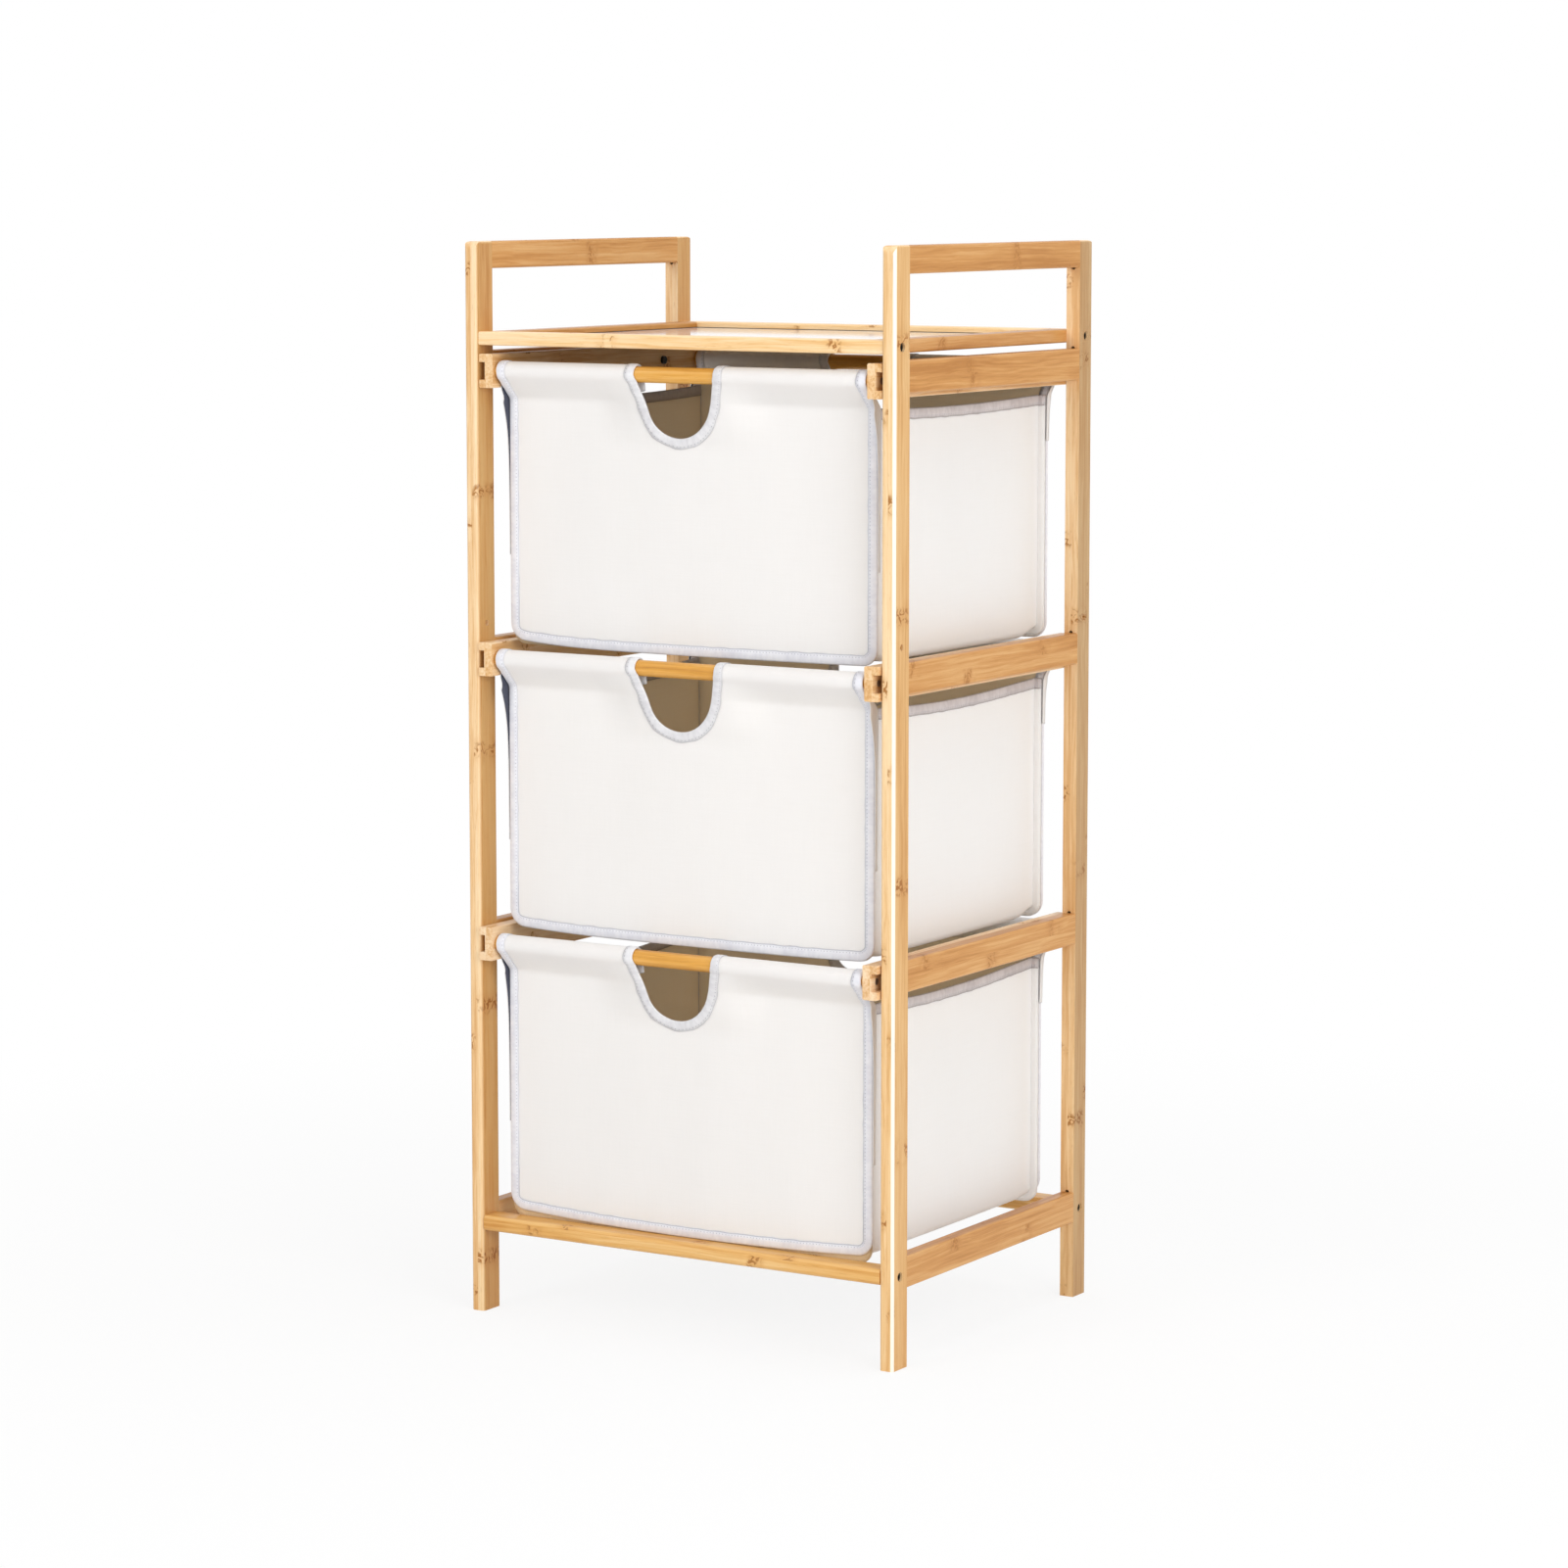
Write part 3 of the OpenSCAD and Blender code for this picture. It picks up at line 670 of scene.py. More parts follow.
@dataclass
class Dressed:
    """Sub-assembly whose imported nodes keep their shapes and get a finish."""

    frame: dict[str, Any]

    def dress(self, finish: Finish, *names: str) -> None:
        """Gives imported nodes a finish.

        Args:
            finish: The finish.
            names: The nodes' names.
        """
        for name in names:
            slots = self.frame["nodes"][name].data.materials
            slots.clear()
            slots.append(finish.material())
        LOG.info("%s: %s", finish.name, ", ".join(names))


@dataclass
class SideFrames(Dressed):
    """Two ladder-like side frames with the runners on their inner sides."""

    sides: tuple[str, ...] = ("left", "right")
    planks: tuple[str, ...] = ("top", "middle", "low", "base")

    def build(self) -> None:
        """Dresses posts, handle rails, planks and runners."""
        # Each post takes a copy of the upright finish with its own painted light
        self.dress(HIGHLIT_FRONT_RIGHT_POST, "post_right_front")
        self.dress(SHADED_LEFT_UPRIGHT, "post_left_front", "post_left_rear")
        self.dress(FRAME_UPRIGHT, "post_right_rear")
        for side in self.sides:
            self.dress(FRAME_DEEP, f"handle_{side}", *(f"plank_{side}_{plank}" for plank in self.planks))
            self.dress(RUNNER_WOOD, *(f"runner_{side}_{tier.value}" for tier in Tier))


@dataclass
class Tray(Dressed):
    """Shallow tray between the side frames."""

    def build(self) -> None:
        """Dresses the tray's rails and panel."""
        self.dress(TRAY_WOOD, "tray_front_rail", "tray_back_rail")
        self.dress(FRAME_DEEP, "tray_left_rail", "tray_right_rail")
        self.dress(TRAY_WHITE, "tray_panel")


@dataclass
class BaseRails(Dressed):
    """Cross rails near the floor."""

    def build(self) -> None:
        """Dresses the two rails."""
        self.dress(BASE_WOOD, "base_front_rail", "base_back_rail")


@dataclass
class Fasteners(Dressed):
    """Bolts, inserts and screws."""

    def build(self) -> None:
        """Dresses the metal pieces."""
        self.dress(BLACK_STEEL, "frame_bolts", *(f"{tier.value}_stop_screws" for tier in Tier))
        self.dress(ZINC_STEEL, "bolt_inserts", "runner_screws",
                   *(f"{tier.value}_rod_screws" for tier in Tier))


class Folds:
    """Soft folds: the sum of a few waves of random lengths."""

    COUNT = 4

    def __init__(self, seed: str, least: float, most: float) -> None:
        """Draws the waves.

        Args:
            seed: Text that their unevenness comes from.
            least: Least number of half waves across the cloth.
            most: Largest number.
        """
        chance = random.Random(seed)
        self.waves = [(chance.uniform(least, most), chance.uniform(0, math.tau), chance.uniform(0.5, 1))
                      for _ in range(self.COUNT)]

    def at(self, share: float, turn: float) -> float:
        """Height of the folds at a share of the way across, with each wave moved on by an angle."""
        return sum(weight * math.sin(rate * math.pi * share + start + turn)
                   for rate, start, weight in self.waves) / self.COUNT


class Sheet(ABC):
    """Cloth as a surface: u runs across it and v along it, both in metres on the flat cut.

    A tape's section is in millimetres: distance in from the edge, and lift. Its unevenness is a few waves of
    TAPE_WAVES radians in a metre, which grow over LOOSE_PART of its width.
    """

    MAP = "cut"
    STEP = 0.2 * MM
    WELD = 0.01 * MM
    TAPE_T = 0.45 * MM
    TAPE_SECTION: Sequence[Spot] = ()
    TAPE_WAVES = (180, 420)
    LOOSE_PART = (4 * MM, 9 * MM)
    facing = 1
    shown_t: float

    @abstractmethod
    def base(self, u: float, v: float) -> Vector:
        """Place of a point of the sheet's middle.

        Args:
            u: Place across the sheet.
            v: Place along it.

        Returns:
            The place.
        """

    def at(self, u: float, v: float, lift: float) -> Vector:
        """Place of a point that stands off the sheet.

        Args:
            u: Place across the sheet.
            v: Place along it.
            lift: Distance off its middle, above 0 on its outer side.

        Returns:
            The place.
        """
        across = self.base(u + self.STEP, v) - self.base(u - self.STEP, v)
        along = self.base(u, v + self.STEP) - self.base(u, v - self.STEP)
        return self.base(u, v) + across.cross(along).normalized() * (lift * self.facing)

    def mesh(self, name: str, rows: Sequence[Sequence[Place]], marks: Sequence[Sequence[Spot]], thick: float,
             *finishes: Finish, flip: bool = False, gap: Gap | None = None) -> bpy.types.Object:
        """Builds a grid of faces on the sheet, with a thickness.

        Args:
            name: The new object's name.
            rows: Rows of places on the sheet: across, along and lift.
            marks: Texture place of each point.
            thick: The thickness, half of it on each side.
            finishes: Finish of the outer side, and of the inner side if that has another one.
            flip: Whether the faces turn over.
            gap: Tells by its corners whether a face is left out.

        Returns:
            The object.
        """
        shape = bmesh.new()
        layer = shape.loops.layers.uv.new(self.MAP)
        grid = [[shape.verts.new(self.at(*spot)) for spot in row] for row in rows]
        for r in range(len(rows) - 1):
            for c in range(len(rows[0]) - 1):
                ring = [(r, c), (r, c + 1), (r + 1, c + 1), (r + 1, c)]
                if flip != (self.facing < 0):
                    ring.reverse()
                face = shape.faces.new([grid[i][k] for i, k in ring])
                face.smooth = True
                for loop, (i, k) in zip(face.loops, ring):
                    loop[layer].uv = marks[i][k]
        bmesh.ops.remove_doubles(shape, verts=shape.verts, dist=self.WELD)
        if gap:
            left_out = [face for face in shape.faces if gap([corner.co for corner in face.verts])]
            bmesh.ops.delete(shape, geom=left_out, context="FACES")
        mesh = bpy.data.meshes.new(name)
        shape.to_mesh(mesh)
        shape.free()
        for finish in finishes:
            mesh.materials.append(finish.material())
        made = show(name, mesh)
        shell = made.modifiers.new("thickness", "SOLIDIFY")
        shell.thickness, shell.offset, shell.material_offset = thick, 0.0, len(finishes) - 1
        return made

    def cloth(self, name: str, rows: Sequence[Sequence[Spot]], *finishes: Finish,
              gap: Gap | None = None) -> bpy.types.Object:
        """Builds the sheet itself, through the places in the rows."""
        flat = [[(u, v, 0.0) for u, v in row] for row in rows]
        return self.mesh(name, flat, rows, self.shown_t, *finishes, gap=gap)

    def bind(self, name: str, line: Sequence[Spot], finish: Finish, seed: int,
             wander: float = 0.45 * MM) -> bpy.types.Object:
        """Folds a tape round an edge of the sheet.

        Args:
            name: The new object's name.
            line: The edge, with the sheet on its left as seen with u to the right and v up.
            finish: The tape's finish.
            seed: Number that its small unevenness comes from.
            wander: How far the tape's inner edge strays.

        Returns:
            The object.
        """
        section = [(inset * MM, lift * MM) for inset, lift in self.TAPE_SECTION]
        runs, girths = distances(line), distances(section)
        chance = random.Random(seed)
        wave = [(chance.uniform(*self.TAPE_WAVES), chance.uniform(0, math.tau)) for _ in range(3)]
        rows = []
        for k, (u, v) in enumerate(line):
            before, after = line[max(k - 1, 0)], line[min(k + 1, len(line) - 1)]
            length = math.dist(before, after)
            du, dv = (after[0] - before[0]) / length, (after[1] - before[1]) / length
            uneven = wander * sum(math.sin(rate * runs[k] + start) for rate, start in wave) / len(wave)
            row = []
            for inset, lift in section:
                inner = smooth(*self.LOOSE_PART, inset)
                width = inset + uneven * inner
                swell = math.copysign(0.4 * uneven, lift) * (0.4 + inner)
                row.append((u - dv * width, v + du * width, lift + swell))
            rows.append(row)
        marks = [[(run - runs[-1] / 2, girth - girths[-1] / 2) for girth in girths] for run in runs]
        return self.mesh(name, rows, marks, self.TAPE_T, finish, flip=True)


@dataclass
class Panel(Sheet):
    """Front or back panel of a bag: looped over its rod, then down to the bottom, with a cut-out."""

    TAPE_SECTION = ((8.8, 0.95), (5, 1.1), (1.2, 1.0), (0, 0.55), (-0.3, 0),
                    (0, -0.35), (1.2, -0.7), (5, -0.75), (8.8, -0.7))
    LOOP_STEPS = 32
    LEAVE = LOOP_STEPS + 1
    BEND_STEPS = 6
    CUT_ANGLES = range(6, 91, 7)
    CORNER_ANGLES = range(0, 91, 10)

    name: str
    end: End
    body: str
    node: str
    rod: str
    hang: float
    rises: Spot
    cut_mid: float
    cloth_t: float = 1.5 * MM
    shown_t: float = 1.2 * MM
    sleeve_gap: float = 0.3 * MM
    seam_drop: float = 15 * MM
    bend_r: float = 8 * MM
    corner_r: float = 14 * MM
    cut_r: float = 32.5 * MM
    cut_top: float = 41 * MM
    cut_depth: float = 55.5 * MM
    cut_skew: float = -4 * MM
    lip_drop: float = 62 * MM
    lip_near: float = 36 * MM
    lip_far: float = 92 * MM
    belly: float = 2.2 * MM
    fold: float = 1.1 * MM
    ripple: float = 0.9 * MM
    hem_reach: float = 90 * MM
    columns: int = 34
    slope_rows: int = 5
    plain_rows: int = 24
    hem_steps: int = 60

    def __post_init__(self) -> None:
        """Works out the panel's path in Y and Z about its packed rod, for the front end."""
        rod_low, rod_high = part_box(self.rod)
        low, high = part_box(self.node)
        self.rod_y, self.rod_z = (rod_low.y + rod_high.y) / 2, (rod_low.z + rod_high.z) / 2
        inner = high.y - self.rod_y if self.end is End.FRONT else self.rod_y - low.y
        self.half, self.drop, self.back = high.x, self.rod_z - low.z, inner - self.cloth_t / 2
        self.facing = self.end.value
        self.folds = Folds(self.name, 5, 9)
        # Seam behind the rod, loop round it, slope of 45 degrees inwards, bend, and straight down
        sleeve = (rod_high.z - rod_low.z) / 2 + self.sleeve_gap + self.cloth_t / 2
        diagonal = math.sqrt(0.5)
        seam = (self.seam_drop - sleeve / diagonal + self.cloth_t * diagonal,
                -self.seam_drop + self.cloth_t * diagonal)
        start = math.degrees(math.atan2(seam[1], seam[0]) + math.acos(sleeve / math.hypot(*seam)))
        bend_y = self.back - self.bend_r
        bend_z = -bend_y - (sleeve + self.bend_r) / diagonal
        self.path = [seam, *arc((0, 0), sleeve, start, 225, self.LOOP_STEPS),
                     *arc((bend_y, bend_z), self.bend_r, 45, 0, self.BEND_STEPS), (self.back, -self.drop)]
        self.runs = distances(self.path)
        top = self.path.index(max(self.path[1:self.LEAVE + 1], key=lambda spot: spot[1]))
        self.crown, self.straight, self.length = self.runs[top], self.runs[-2], self.runs[-1]
        # Height of the cut-out's round end, and where its sloping sides touch it
        self.cut_z = self.cut_r - self.cut_depth
        turn = (math.atan2(-self.cut_z, self.cut_top)
                - math.acos(self.cut_r / math.hypot(self.cut_top, self.cut_z)))
        self.touch = self.cut_r * math.cos(turn), self.cut_z + self.cut_r * math.sin(turn)

    def section(self, v: float) -> Spot:
        """Place along the path.

        Args:
            v: Distance along the path.

        Returns:
            The place in Y and Z about the rod, for the front end.
        """
        k = min(max(bisect_right(self.runs, v) - 1, 0), len(self.runs) - 2)
        share = (v - self.runs[k]) / (self.runs[k + 1] - self.runs[k])
        (y0, z0), (y1, z1) = self.path[k], self.path[k + 1]
        return y0 + (y1 - y0) * share, z0 + (z1 - z0) * share

    def relief(self, u: float, v: float) -> float:
        """Distance that the cloth stands out from its path: a belly and soft folds that hang from the rod.

        Args:
            u: Place across the panel.
            v: Place along it.

        Returns:
            The distance.
        """
        down = (v - self.straight) / (self.length - self.straight)
        # Ripples over the rod, near its ends
        if down <= 0:
            bar = smooth(0.72, 0.97, abs(u) / self.half)
            near = smooth(self.crown, self.straight, v) * smooth(self.straight, self.crown, v)
            return bar * near * self.ripple * math.sin(v * 700 + u * 160)
        # Belly and folds, less where the cloth is held at its edges
        side = 1 - (u / self.half) ** 2
        held = smooth(0.0, 0.08, down) * smooth(0.0, 0.12, 1 - down) * max(0.0, side) ** 0.5
        bulge = self.belly * side * math.sin(math.pi * min(1.0, down) ** 0.8)
        return held * (bulge + self.fold * self.folds.at(u / self.half / 2, 1.3 * down) * (1 - 0.6 * down))

    def depth(self, z: float) -> float:
        """Depth behind the rod's middle, for the front end.

        Args:
            z: Height about the rod's middle, below the loop round it.

        Returns:
            The depth.
        """
        spans = zip(self.path[self.LEAVE:], self.path[self.LEAVE + 1:])
        return next((y0 + (y1 - y0) * (z0 - z) / (z0 - z1)
                     for (y0, z0), (y1, z1) in spans if z1 <= z <= z0), self.back)

    def base(self, u: float, v: float) -> Vector:
        """Place of a point of the panel's middle.

        Args:
            u: Place across the panel.
            v: Place along it.

        Returns:
            The place.
        """
        y, z = self.section(v)
        ahead, behind = self.section(v + self.STEP), self.section(v - self.STEP)
        slope = math.atan2(ahead[1] - behind[1], ahead[0] - behind[0])
        y -= self.lean(u, v)
        out = self.relief(u, v)
        y, z = y + out * math.sin(slope), z - out * math.cos(slope)
        z += smooth(self.length - self.hem_reach, self.length, v) * self.hem_rise(u)
        return Vector((u, self.rod_y - self.facing * y, self.rod_z + z))

    def lean(self, u: float, v: float) -> float:
        """Distance that the cloth hangs in front of its path beside the cut-out, where it runs straight down.

        Args:
            u: Place across the panel.
            v: Place along it.

        Returns:
            The distance.
        """
        y, z = self.section(v)
        leave_y, leave_z = self.path[self.LEAVE]
        if v < self.runs[self.LEAVE] or z < -self.lip_drop:
            return 0.0
        straight = leave_y + (self.back - leave_y) * (leave_z - z) / (leave_z + self.lip_drop)
        return max(0.0, y - straight) * (1 - smooth(self.lip_near, self.lip_far, abs(u - self.cut_mid)))

    def hem_rise(self, u: float) -> float:
        """Height of the panel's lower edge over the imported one: it hangs lower in the middle."""
        out = min(1.0, abs(u) / self.half)
        return self.rises[u > 0] * out ** 4 - self.hang * (1 - out ** 2)

    def cut_half(self, v: float) -> float:
        """Half the cut-out's width.

        Args:
            v: Place along the panel.

        Returns:
            The half width, and 0 below the cut-out.
        """
        z = min(0.0, self.section(v)[1])
        touch_x, touch_z = self.touch
        if z >= touch_z:
            return touch_x + (self.cut_top - touch_x) * (z - touch_z) / -touch_z
        return math.sqrt(max(0.0, self.cut_r ** 2 - (z - self.cut_z) ** 2))

    def cut_middle(self, v: float) -> float:
        """Middle of the cut-out, whose lower end stands to the left."""
        return self.cut_mid + self.cut_skew * smooth(0.35, 1.0, -self.section(v)[1] / self.cut_depth)

    def outer_half(self, v: float) -> float:
        """Half the panel's width, less at its rounded lower corners."""
        in_corner = max(0.0, self.corner_r - (self.length - v))
        return self.half - self.corner_r + math.sqrt(max(0.0, self.corner_r ** 2 - in_corner ** 2))

    def levels(self) -> list[float]:
        """Finds where the panel needs a row of points: more at bends, cut-out and corners.

        Returns:
            Places along the panel, in order.
        """
        at_rod = self.length - self.drop
        bottom = self.length - self.corner_r
        cut = [at_rod - self.cut_z + self.cut_r * math.sin(math.radians(a)) for a in self.CUT_ANGLES]
        corner = [bottom + self.corner_r * math.sin(math.radians(a)) for a in self.CORNER_ANGLES]
        low = max(cut)
        plain = [low + (bottom - low) * k / self.plain_rows for k in range(1, self.plain_rows)]
        leave, bend = self.runs[self.LEAVE:self.LEAVE + 2]
        slope = [leave + (bend - leave) * k / self.slope_rows for k in range(1, self.slope_rows)]
        cut = [v for v in cut if v > self.straight + 1 * MM] + [at_rod + self.cut_depth]
        return sorted({0.0, *self.runs[:-1], *slope, *cut, *plain, *corner, self.length})

    def rows(self) -> list[list[Spot]]:
        """Rows of places on the panel.

        Returns:
            For each level, the places left of the cut-out and then those right of it.
        """
        shares = [k / self.columns for k in range(self.columns + 1)]
        made = []
        for v in self.levels():
            inner, outer, middle = self.cut_half(v), self.outer_half(v), self.cut_middle(v)
            left = [(-outer + (outer - inner + middle) * share, v) for share in shares]
            made.append(left + [(middle + inner + (outer - inner - middle) * share, v) for share in shares])
        return made

    def edge_line(self) -> list[Spot]:
        """Finds the outer edge, from the seam down one side, along the bottom and up the other side.

        Returns:
            Places on the panel.
        """
        left = [(-self.outer_half(v), v) for v in self.levels()]
        flat = self.half - self.corner_r
        bottom = [(-flat + 2 * flat * k / self.hem_steps, self.length) for k in range(1, self.hem_steps)]
        return list(reversed(left + bottom + [(-u, v) for u, v in reversed(left)]))

    def cut_line(self) -> list[Spot]:
        """Finds the edge of the cut-out, from the seam down one side of it and up the other.

        Returns:
            Places on the panel.
        """
        right = [(self.cut_half(v), v) for v in self.levels() if self.cut_half(v) > 0.5 * MM]
        lowest = (0.0, self.length - self.drop + self.cut_depth)
        line = [*right, lowest, *((-u, v) for u, v in reversed(right))]
        return [(self.cut_middle(v) + u, v) for u, v in reversed(line)]

    def in_cut_out(self, corners: Sequence[Vector]) -> bool:
        """Tells whether a face lies in the cut-out: across its lower end's middle, and above that end.

        Args:
            corners: The face's corners.

        Returns:
            Whether it does.
        """
        middle = self.cut_mid + self.cut_skew
        across = [corner.x for corner in corners]
        high = max(corner.z for corner in corners)
        return min(across) < middle < max(across) and high > self.rod_z - self.cut_depth

    def build(self) -> bpy.types.Object:
        """Builds the panel and its tapes.

        Returns:
            The panel.
        """
        panel = self.cloth(self.name, self.rows(), PANEL_CLOTH, LINING, gap=self.in_cut_out)
        edge = self.bind(f"{self.name}_edge_tape", self.edge_line(), TAPE, seed=3)
        cut = self.bind(f"{self.name}_cut_out_tape", self.cut_line(), CUT_OUT_TAPE, seed=7, wander=0.8 * MM)
        for piece in (panel, edge, cut):
            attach(piece, self.body)
        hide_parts(self.node)
        LOG.info("%s: cloth panel with two tapes", self.name)
        return panel


@dataclass
class Sides(Sheet):
    """Side walls and bottom of a bag in one strip of cloth, sewn to the panels along turned-out seams."""

    TAPE_SECTION = ((9, 1.1), (4.5, 1.3), (1, 1.15), (0, 0.7), (-0.4, 0),
                    (0, -0.7), (1, -1.15), (4.5, -1.3), (9, -1.1))

    name: str
    body: str
    node: str
    sag: float
    droop: float
    lift: float
    cloth_t: float = 1.5 * MM
    shown_t: float = 1.1 * MM
    corner_r: float = 6 * MM
    flange: float = 7.6 * MM
    off_panel: float = 1.5 * MM
    bow: float = 3.5 * MM
    dip: float = 1.6 * MM
    fold: float = 0.9 * MM
    floor_sag: float = 0.4 * MM
    sag_reach: float = 70 * MM
    wall_end: float = 20 * MM
    lift_reach: float = 24 * MM
    lift_run: float = 26 * MM
    margin: float = 12 * MM
    columns: int = 34
    wall_rows: int = 30
    turn_rows: int = 6
    floor_rows: int = 20

    def __post_init__(self) -> None:
        """Works out the strip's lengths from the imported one."""
        low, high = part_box(self.node)
        self.half, self.low, self.high = high.x - self.cloth_t / 2, low.z + self.cloth_t / 2, high.z
        self.front, self.depth = low.y + self.off_panel, high.y - low.y - 2 * self.off_panel
        self.leg = self.high - self.low - self.corner_r
        self.turn = self.corner_r * math.pi / 2
        self.flat = 2 * (self.half - self.corner_r)
        self.length = 2 * self.leg + 2 * self.turn + self.flat
        self.folds = Folds(self.name, 3, 7)

    def profile(self, v: float) -> tuple[float, float, float, float]:
        """Section across the unit.

        Args:
            v: Distance along the strip, from the left wall's upper edge.

        Returns:
            The place in X and Z, and the outward direction there.
        """
        side = math.copysign(1.0, v - self.length / 2)
        v = min(v, self.length - v)
        if v <= self.leg:
            return side * self.half, self.high - v, side, 0.0
        mid_x, mid_z = self.half - self.corner_r, self.low + self.corner_r
        if v <= self.leg + self.turn:
            angle = (v - self.leg) / self.corner_r
            out_x, out_z = side * math.cos(angle), -math.sin(angle)
            return side * mid_x + self.corner_r * out_x, mid_z + self.corner_r * out_z, out_x, out_z
        return side * (mid_x - (v - self.leg - self.turn)), self.low, 0.0, -1.0

    def base(self, u: float, v: float) -> Vector:
        """Place of a point of the strip's middle.

        Args:
            u: Place across the strip.
            v: Place along it.

        Returns:
            The place.
        """
        x, z, out_x, out_z = self.profile(v)
        inside = min(max(u, 0.0), self.depth)
        flare = max(0.0, -u, u - self.depth)
        below = min(v, self.length - v)
        hold = math.sin(math.pi * inside / self.depth)
        wall = 1 - smooth(self.leg - self.wall_end, self.leg + self.turn, below)
        upper = 1 - smooth(0.0, self.leg, below)
        folds = self.fold * self.folds.at(inside / self.depth, 2 * upper) * hold ** 0.5
        pull = wall * (self.bow * hold * upper - self.dip * hold * (1 - upper) + folds)
        drop = self.sag * hold * (1 - smooth(0.0, self.sag_reach, below))
        drop += self.droop * smooth(self.leg - self.sag_reach, self.leg, below)
        end = 1 - smooth(0.0, self.lift_run, min(inside, self.depth - inside))
        rise = self.lift * end * smooth(self.leg - self.lift_reach, self.leg + self.turn, below)
        out = flare + (1 - wall) * self.floor_sag * hold
        return Vector((x + out_x * (flare - pull), self.front + inside, z + out_z * out - drop + rise))

    def build(self, panels: Sequence[bpy.types.Object], tabs: Sequence[bpy.types.Object]) -> bpy.types.Object:
        """Builds the strip and its hems.

        Args:
            panels: Panels that it is sewn to; not used.
            tabs: Its corners that are drawn up to the rods.

        Returns:
            The strip.
        """
        fold = [-self.flange, -self.flange / 2, -1.6 * MM, -0.6 * MM, 0.0, 0.6 * MM, 2 * MM, 6 * MM]
        plain = self.depth - 2 * self.margin
        across = fold + [self.margin + plain * k / self.columns for k in range(self.columns + 1)]
        across += [self.depth - u for u in reversed(fold)]
        half = [self.leg * k / self.wall_rows for k in range(self.wall_rows + 1)]
        half += [self.leg + self.turn * k / self.turn_rows for k in range(1, self.turn_rows)]
        floor = [self.flat / 2 * k / self.floor_rows for k in range(self.floor_rows + 1)]
        half += [self.leg + self.turn + v for v in floor]
        along = half + [self.length - v for v in reversed(half[:-1])]
        rows = [[(u, v) for u in across] for v in along]
        strip = self.cloth(self.name, rows, SIDE_CLOTH, LINING)
        # The hems take the dark painted-shade tape
        left = self.bind(f"{self.name}_left_hem", rows[0], SHADED_HEM_TAPE, seed=11)
        right = self.bind(f"{self.name}_right_hem", rows[-1][::-1], SHADED_HEM_TAPE, seed=13)
        for piece in (strip, left, right, *tabs):
            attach(piece, self.body)
        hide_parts(self.node)
        LOG.info("%s: side walls and bottom with two hems and %d corner tabs", self.name, len(tabs))
        return strip


@dataclass
class CornerTab(Sheet):
    """Narrow corner of a side wall, drawn up behind a panel's edge to the rod."""

    name: str
    panel: Panel
    side: int
    tuck: float
    off: float = 1.6 * MM
    start: float = 13 * MM
    widest: float = 15 * MM
    fade: float = 22 * MM
    length: float = 150 * MM
    rim: float = 0.8 * MM
    behind: float = 3 * MM
    shown_t: float = 0.7 * MM
    columns: int = 4
    upper_rows: int = 5
    lower_rows: int = 22

    def __post_init__(self) -> None:
        """Finds which way the tab's outer side faces."""
        self.facing = -self.side * self.panel.facing

    def reach(self, v: float) -> float:
        """Distance that the tab stands in front of the panel's edge.

        Args:
            v: Distance down from its top.

        Returns:
            The distance.
        """
        below = v - self.widest
        share = (v / self.widest) ** 0.8 if below < 0 else math.exp(-((below / self.fade) ** 1.15))
        return self.rim + (self.tuck - self.rim) * share

    def base(self, u: float, v: float) -> Vector:
        """Place of a point of the tab's middle.

        Args:
            u: Place across the tab.
            v: Place along it.

        Returns:
            The place.
        """
        panel = self.panel
        z = -self.start - v
        y = panel.depth(z) - u
        x = self.side * (panel.half + self.off * (1 - 0.5 * v / self.length))
        return Vector((x, panel.rod_y - panel.facing * y, panel.rod_z + z))

    def build(self) -> bpy.types.Object:
        """Builds the tab.

        Returns:
            The tab.
        """
        places = [self.widest * k / self.upper_rows for k in range(self.upper_rows + 1)]
        tail = self.length - self.widest
        places += [self.widest + tail * (k / self.lower_rows) ** 1.4 for k in range(1, self.lower_rows + 1)]
        shares = [k / self.columns for k in range(self.columns + 1)]
        rows = [[((self.reach(v) + self.behind) * share - self.behind, v) for share in shares]
                for v in places]
        # Its inner side is near-black: painted shade
        return self.cloth(self.name, rows, SIDE_CLOTH, PAINTED_SHADE_LINING)


@dataclass
class ClothDrawer(Dressed):
    """A drawer: two grooved bars, two rods and the bag that hangs from them."""

    tier: Tier
    rises: Spot
    tuck: float
    cut_mid: float
    hang: float = 0.5 * MM
    droop: float = 0.0
    sag: float = 3.5 * MM
    seam: float = 7 * MM
    rear_tab: float = 0.35
    bar_wood: Bamboo = BAR_WOOD

    def build(self) -> None:
        """Dresses bars, rods and board, and builds the bag."""
        tier = self.tier.value
        body = f"drawer_{tier}"
        self.dress(self.bar_wood, f"{tier}_bar_left", f"{tier}_bar_right")
        self.dress(ROD_WOOD, f"{tier}_rod_front", f"{tier}_rod_rear")
        self.dress(BOARD, f"{tier}_bag_board")
        panels, tabs = [], []
        for end, word, share in ((End.FRONT, "front", 1.0), (End.REAR, "back", self.rear_tab)):
            panel = Panel(f"{tier}_{word}_panel", end, body, f"{tier}_bag_{word}",
                          f"{tier}_rod_{end.name.lower()}", self.hang, self.rises, self.cut_mid)
            panels.append(panel.build())
            for side, hand in ((-1, "left"), (1, "right")):
                tabs.append(CornerTab(f"{panel.name}_{hand}_tab", panel, side, self.tuck * share,
                                      fade=share * CornerTab.fade, length=share * CornerTab.length).build())
        Sides(f"{tier}_side_walls", body, f"{tier}_bag_sides", self.sag, self.droop,
              lift=self.seam - self.hang).build(panels, tabs)


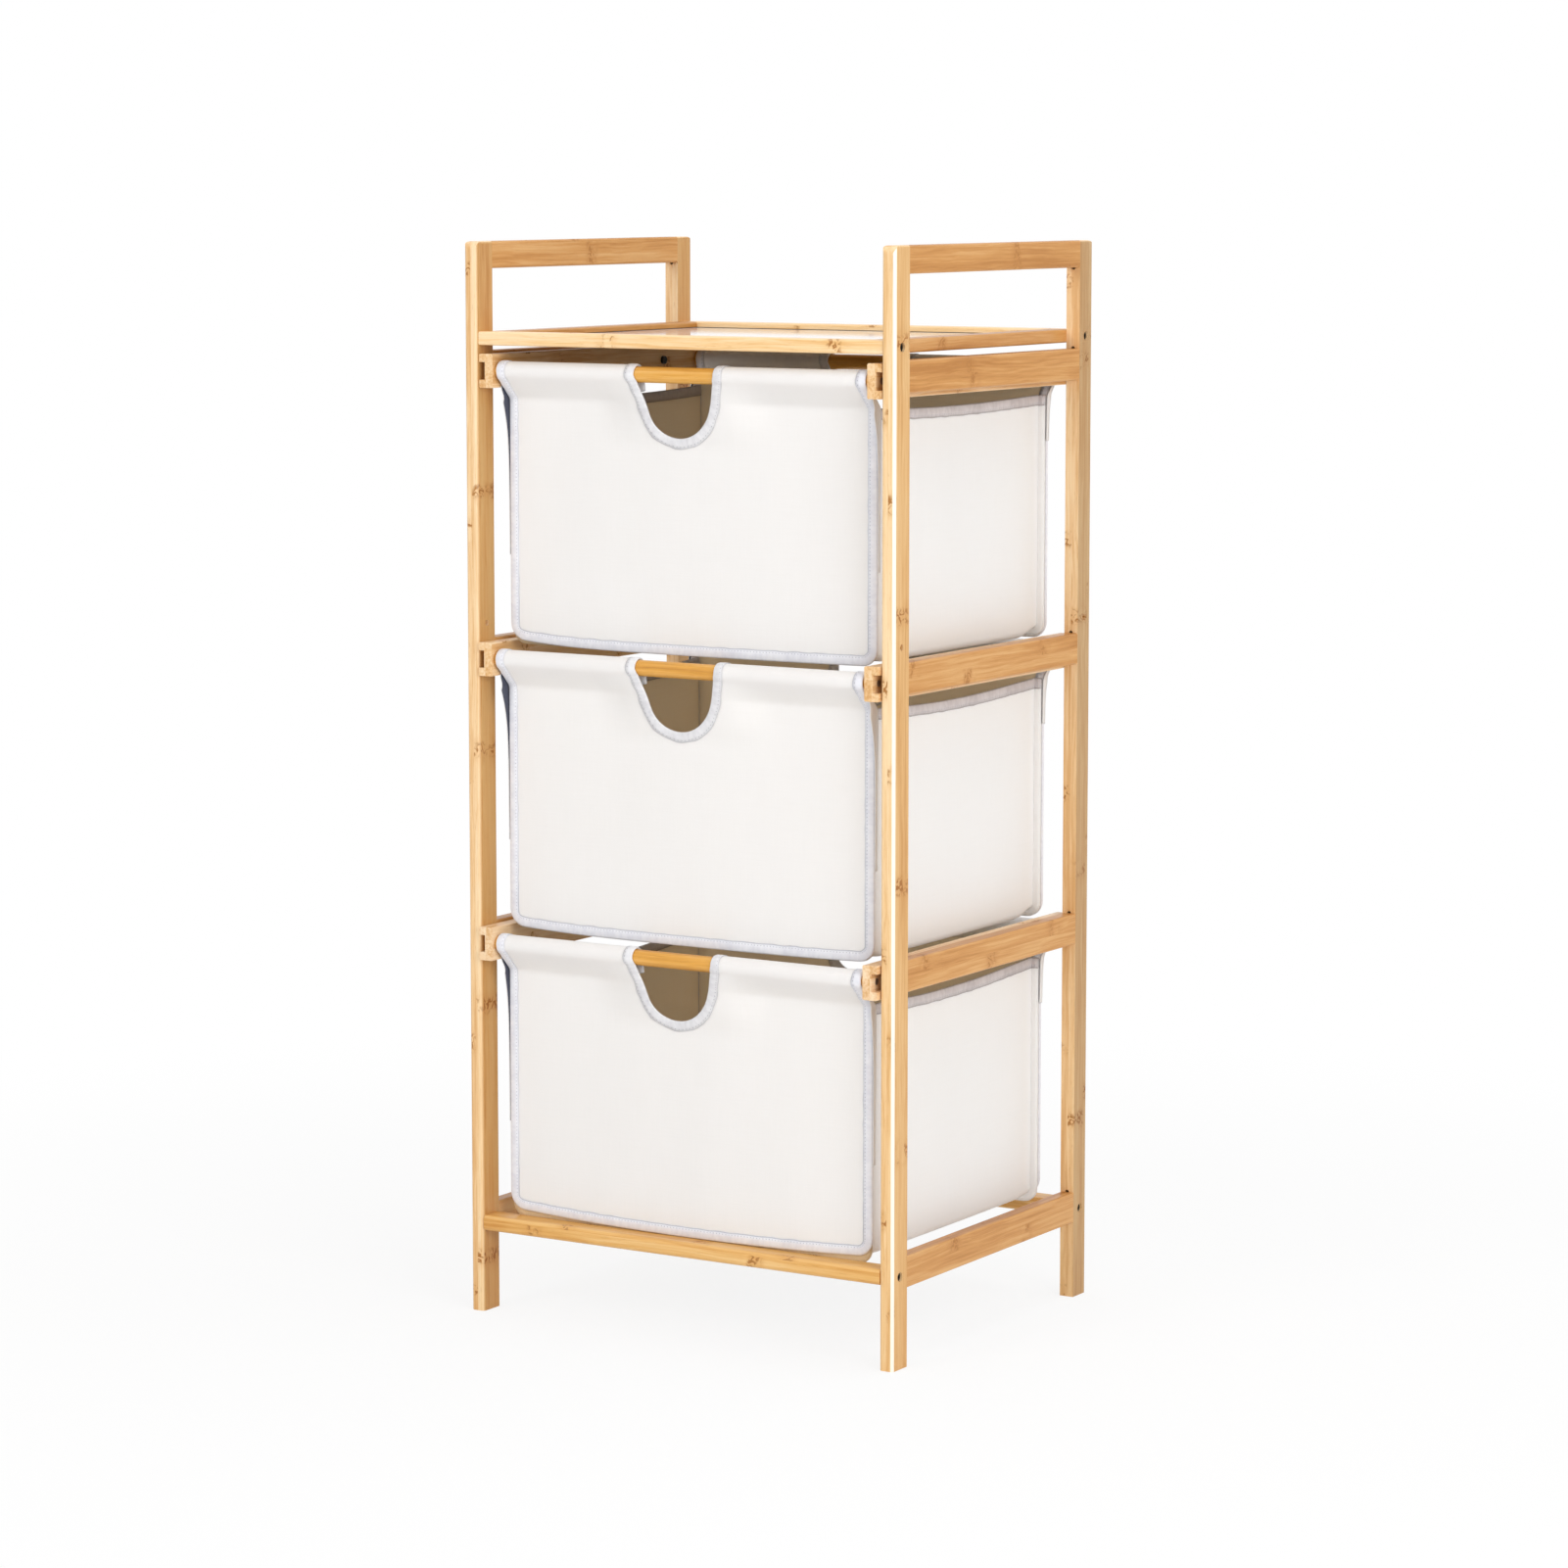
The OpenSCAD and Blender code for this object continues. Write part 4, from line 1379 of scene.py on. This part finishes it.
@dataclass
class Lamp:
    """Soft lamp that faces the unit's middle."""

    name: str
    place: Place
    size: Spot
    power: float
    colour: Colour = (1.0, 0.99, 0.985)
    aim: Place = (0.0, 0.0, 0.5)

    def build(self) -> None:
        """Hangs the lamp."""
        data = bpy.data.lights.new(self.name, "AREA")
        data.shape = "RECTANGLE"
        data.size, data.size_y = self.size
        data.energy = self.power
        data.color = self.colour
        lamp = show(self.name, data)
        lamp.location = self.place
        lamp.rotation_euler = (Vector(self.aim) - Vector(self.place)).to_track_quat("-Z", "Y").to_euler()
        LOG.info("%s lamp: %g W", self.name, self.power)


@dataclass
class Studio:
    """Pale floor and backdrop, soft lamps and the camera."""

    camera_place: Place = (2.2558, -3.6623, 1.0262)
    camera_turn: float = 31.58
    camera_dip: float = 6.753
    sensor: float = 36.0
    focal: float = 110.8
    shift: float = -0.030
    view_end: float = 100.0
    floor_half: float = 14.0
    sweep_r: float = 3.0
    sweep_steps: int = 10
    floor_sides: int = 48
    sky_light: float = 0.62
    lamps: tuple[Lamp, ...] = (
        Lamp("key", (-0.8, -3.2, 2.2), (1.2, 1.4), 29.0),
        Lamp("side", (3.0, -1.6, 1.5), (1.8, 1.8), 50.0),
        Lamp("above", (0.4, 0.4, 3.0), (1.8, 1.8), 20.0, WHITE),
    )

    def build(self) -> None:
        """Makes the camera, the floor, the lamps and the world."""
        self.make_camera()
        self.make_floor()
        for lamp in self.lamps:
            lamp.build()
        self.make_world()
        bpy.context.scene.view_settings.view_transform = "Standard"

    def make_camera(self) -> None:
        """Sets the camera at the photograph's viewing angle."""
        data = bpy.data.cameras.new("camera")
        data.sensor_width = self.sensor
        data.lens = self.focal
        data.shift_y = self.shift
        data.clip_end = self.view_end
        camera = show("camera", data)
        camera.location = self.camera_place
        camera.rotation_euler = (math.radians(90 - self.camera_dip), 0.0, math.radians(self.camera_turn))
        bpy.context.scene.camera = camera

    def make_floor(self) -> None:
        """Makes a floor that sweeps up into a backdrop all round."""
        profile = [(self.floor_half / 2, 0.0), (self.floor_half, 0.0)]
        profile += arc((self.floor_half, self.sweep_r), self.sweep_r, -90, 0, self.sweep_steps)[1:]
        count = self.floor_sides
        ring = arc((0.0, 0.0), 1.0, 0, 360, count)[:-1]
        points = [(r * x, r * y, z) for r, z in profile for x, y in ring] + [(0.0, 0.0, 0.0)]
        after = [(k + 1) % count for k in range(count)]
        faces = [(len(points) - 1, k, after[k]) for k in range(count)]
        faces += [(low + k, low + count + k, low + count + after[k], low + after[k])
                  for k in range(count) for low in range(0, count * (len(profile) - 1), count)]
        mesh = bpy.data.meshes.new("floor")
        mesh.from_pydata(points, [], faces)
        mesh.shade_smooth()
        mesh.materials.append(FLOOR_WHITE.material())
        show("floor", mesh)

    def make_world(self) -> None:
        """Makes a white surround that lights softly and looks white."""
        world = bpy.data.worlds.new("surround")
        bpy.context.scene.world = world
        graph = Graph(world)
        level = graph.value("MapRange", {"Value": graph.in_view(), "To Min": self.sky_light, "To Max": 1.0})
        graph.node("OutputWorld", {"Surface": graph.value("Background", {"Color": WHITE, "Strength": level})})


def main() -> None:
    """Loads the frame, dresses it and builds the bags and the studio."""
    logging.basicConfig(level=logging.INFO, format="%(name)s: %(message)s")
    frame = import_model()
    Studio().build()
    for part in (SideFrames, Tray, BaseRails, Fasteners):
        part(frame).build()
    ClothDrawer(frame, Tier.TOP, rises=(6 * MM, 0.5 * MM), tuck=9 * MM, cut_mid=-4 * MM).build()
    ClothDrawer(frame, Tier.MIDDLE, rises=(4 * MM, 2 * MM), tuck=11 * MM, cut_mid=-1 * MM, sag=6 * MM).build()
    # The low drawer's bars take the paler copy: painted light
    ClothDrawer(frame, Tier.LOW, rises=(1.5 * MM, 1 * MM), tuck=6.5 * MM, cut_mid=-3.5 * MM, hang=4.6 * MM,
                droop=4 * MM, sag=6.5 * MM, bar_wood=LIT_LOW_BAR_WOOD).build()


if __name__ == "__main__":
    main()
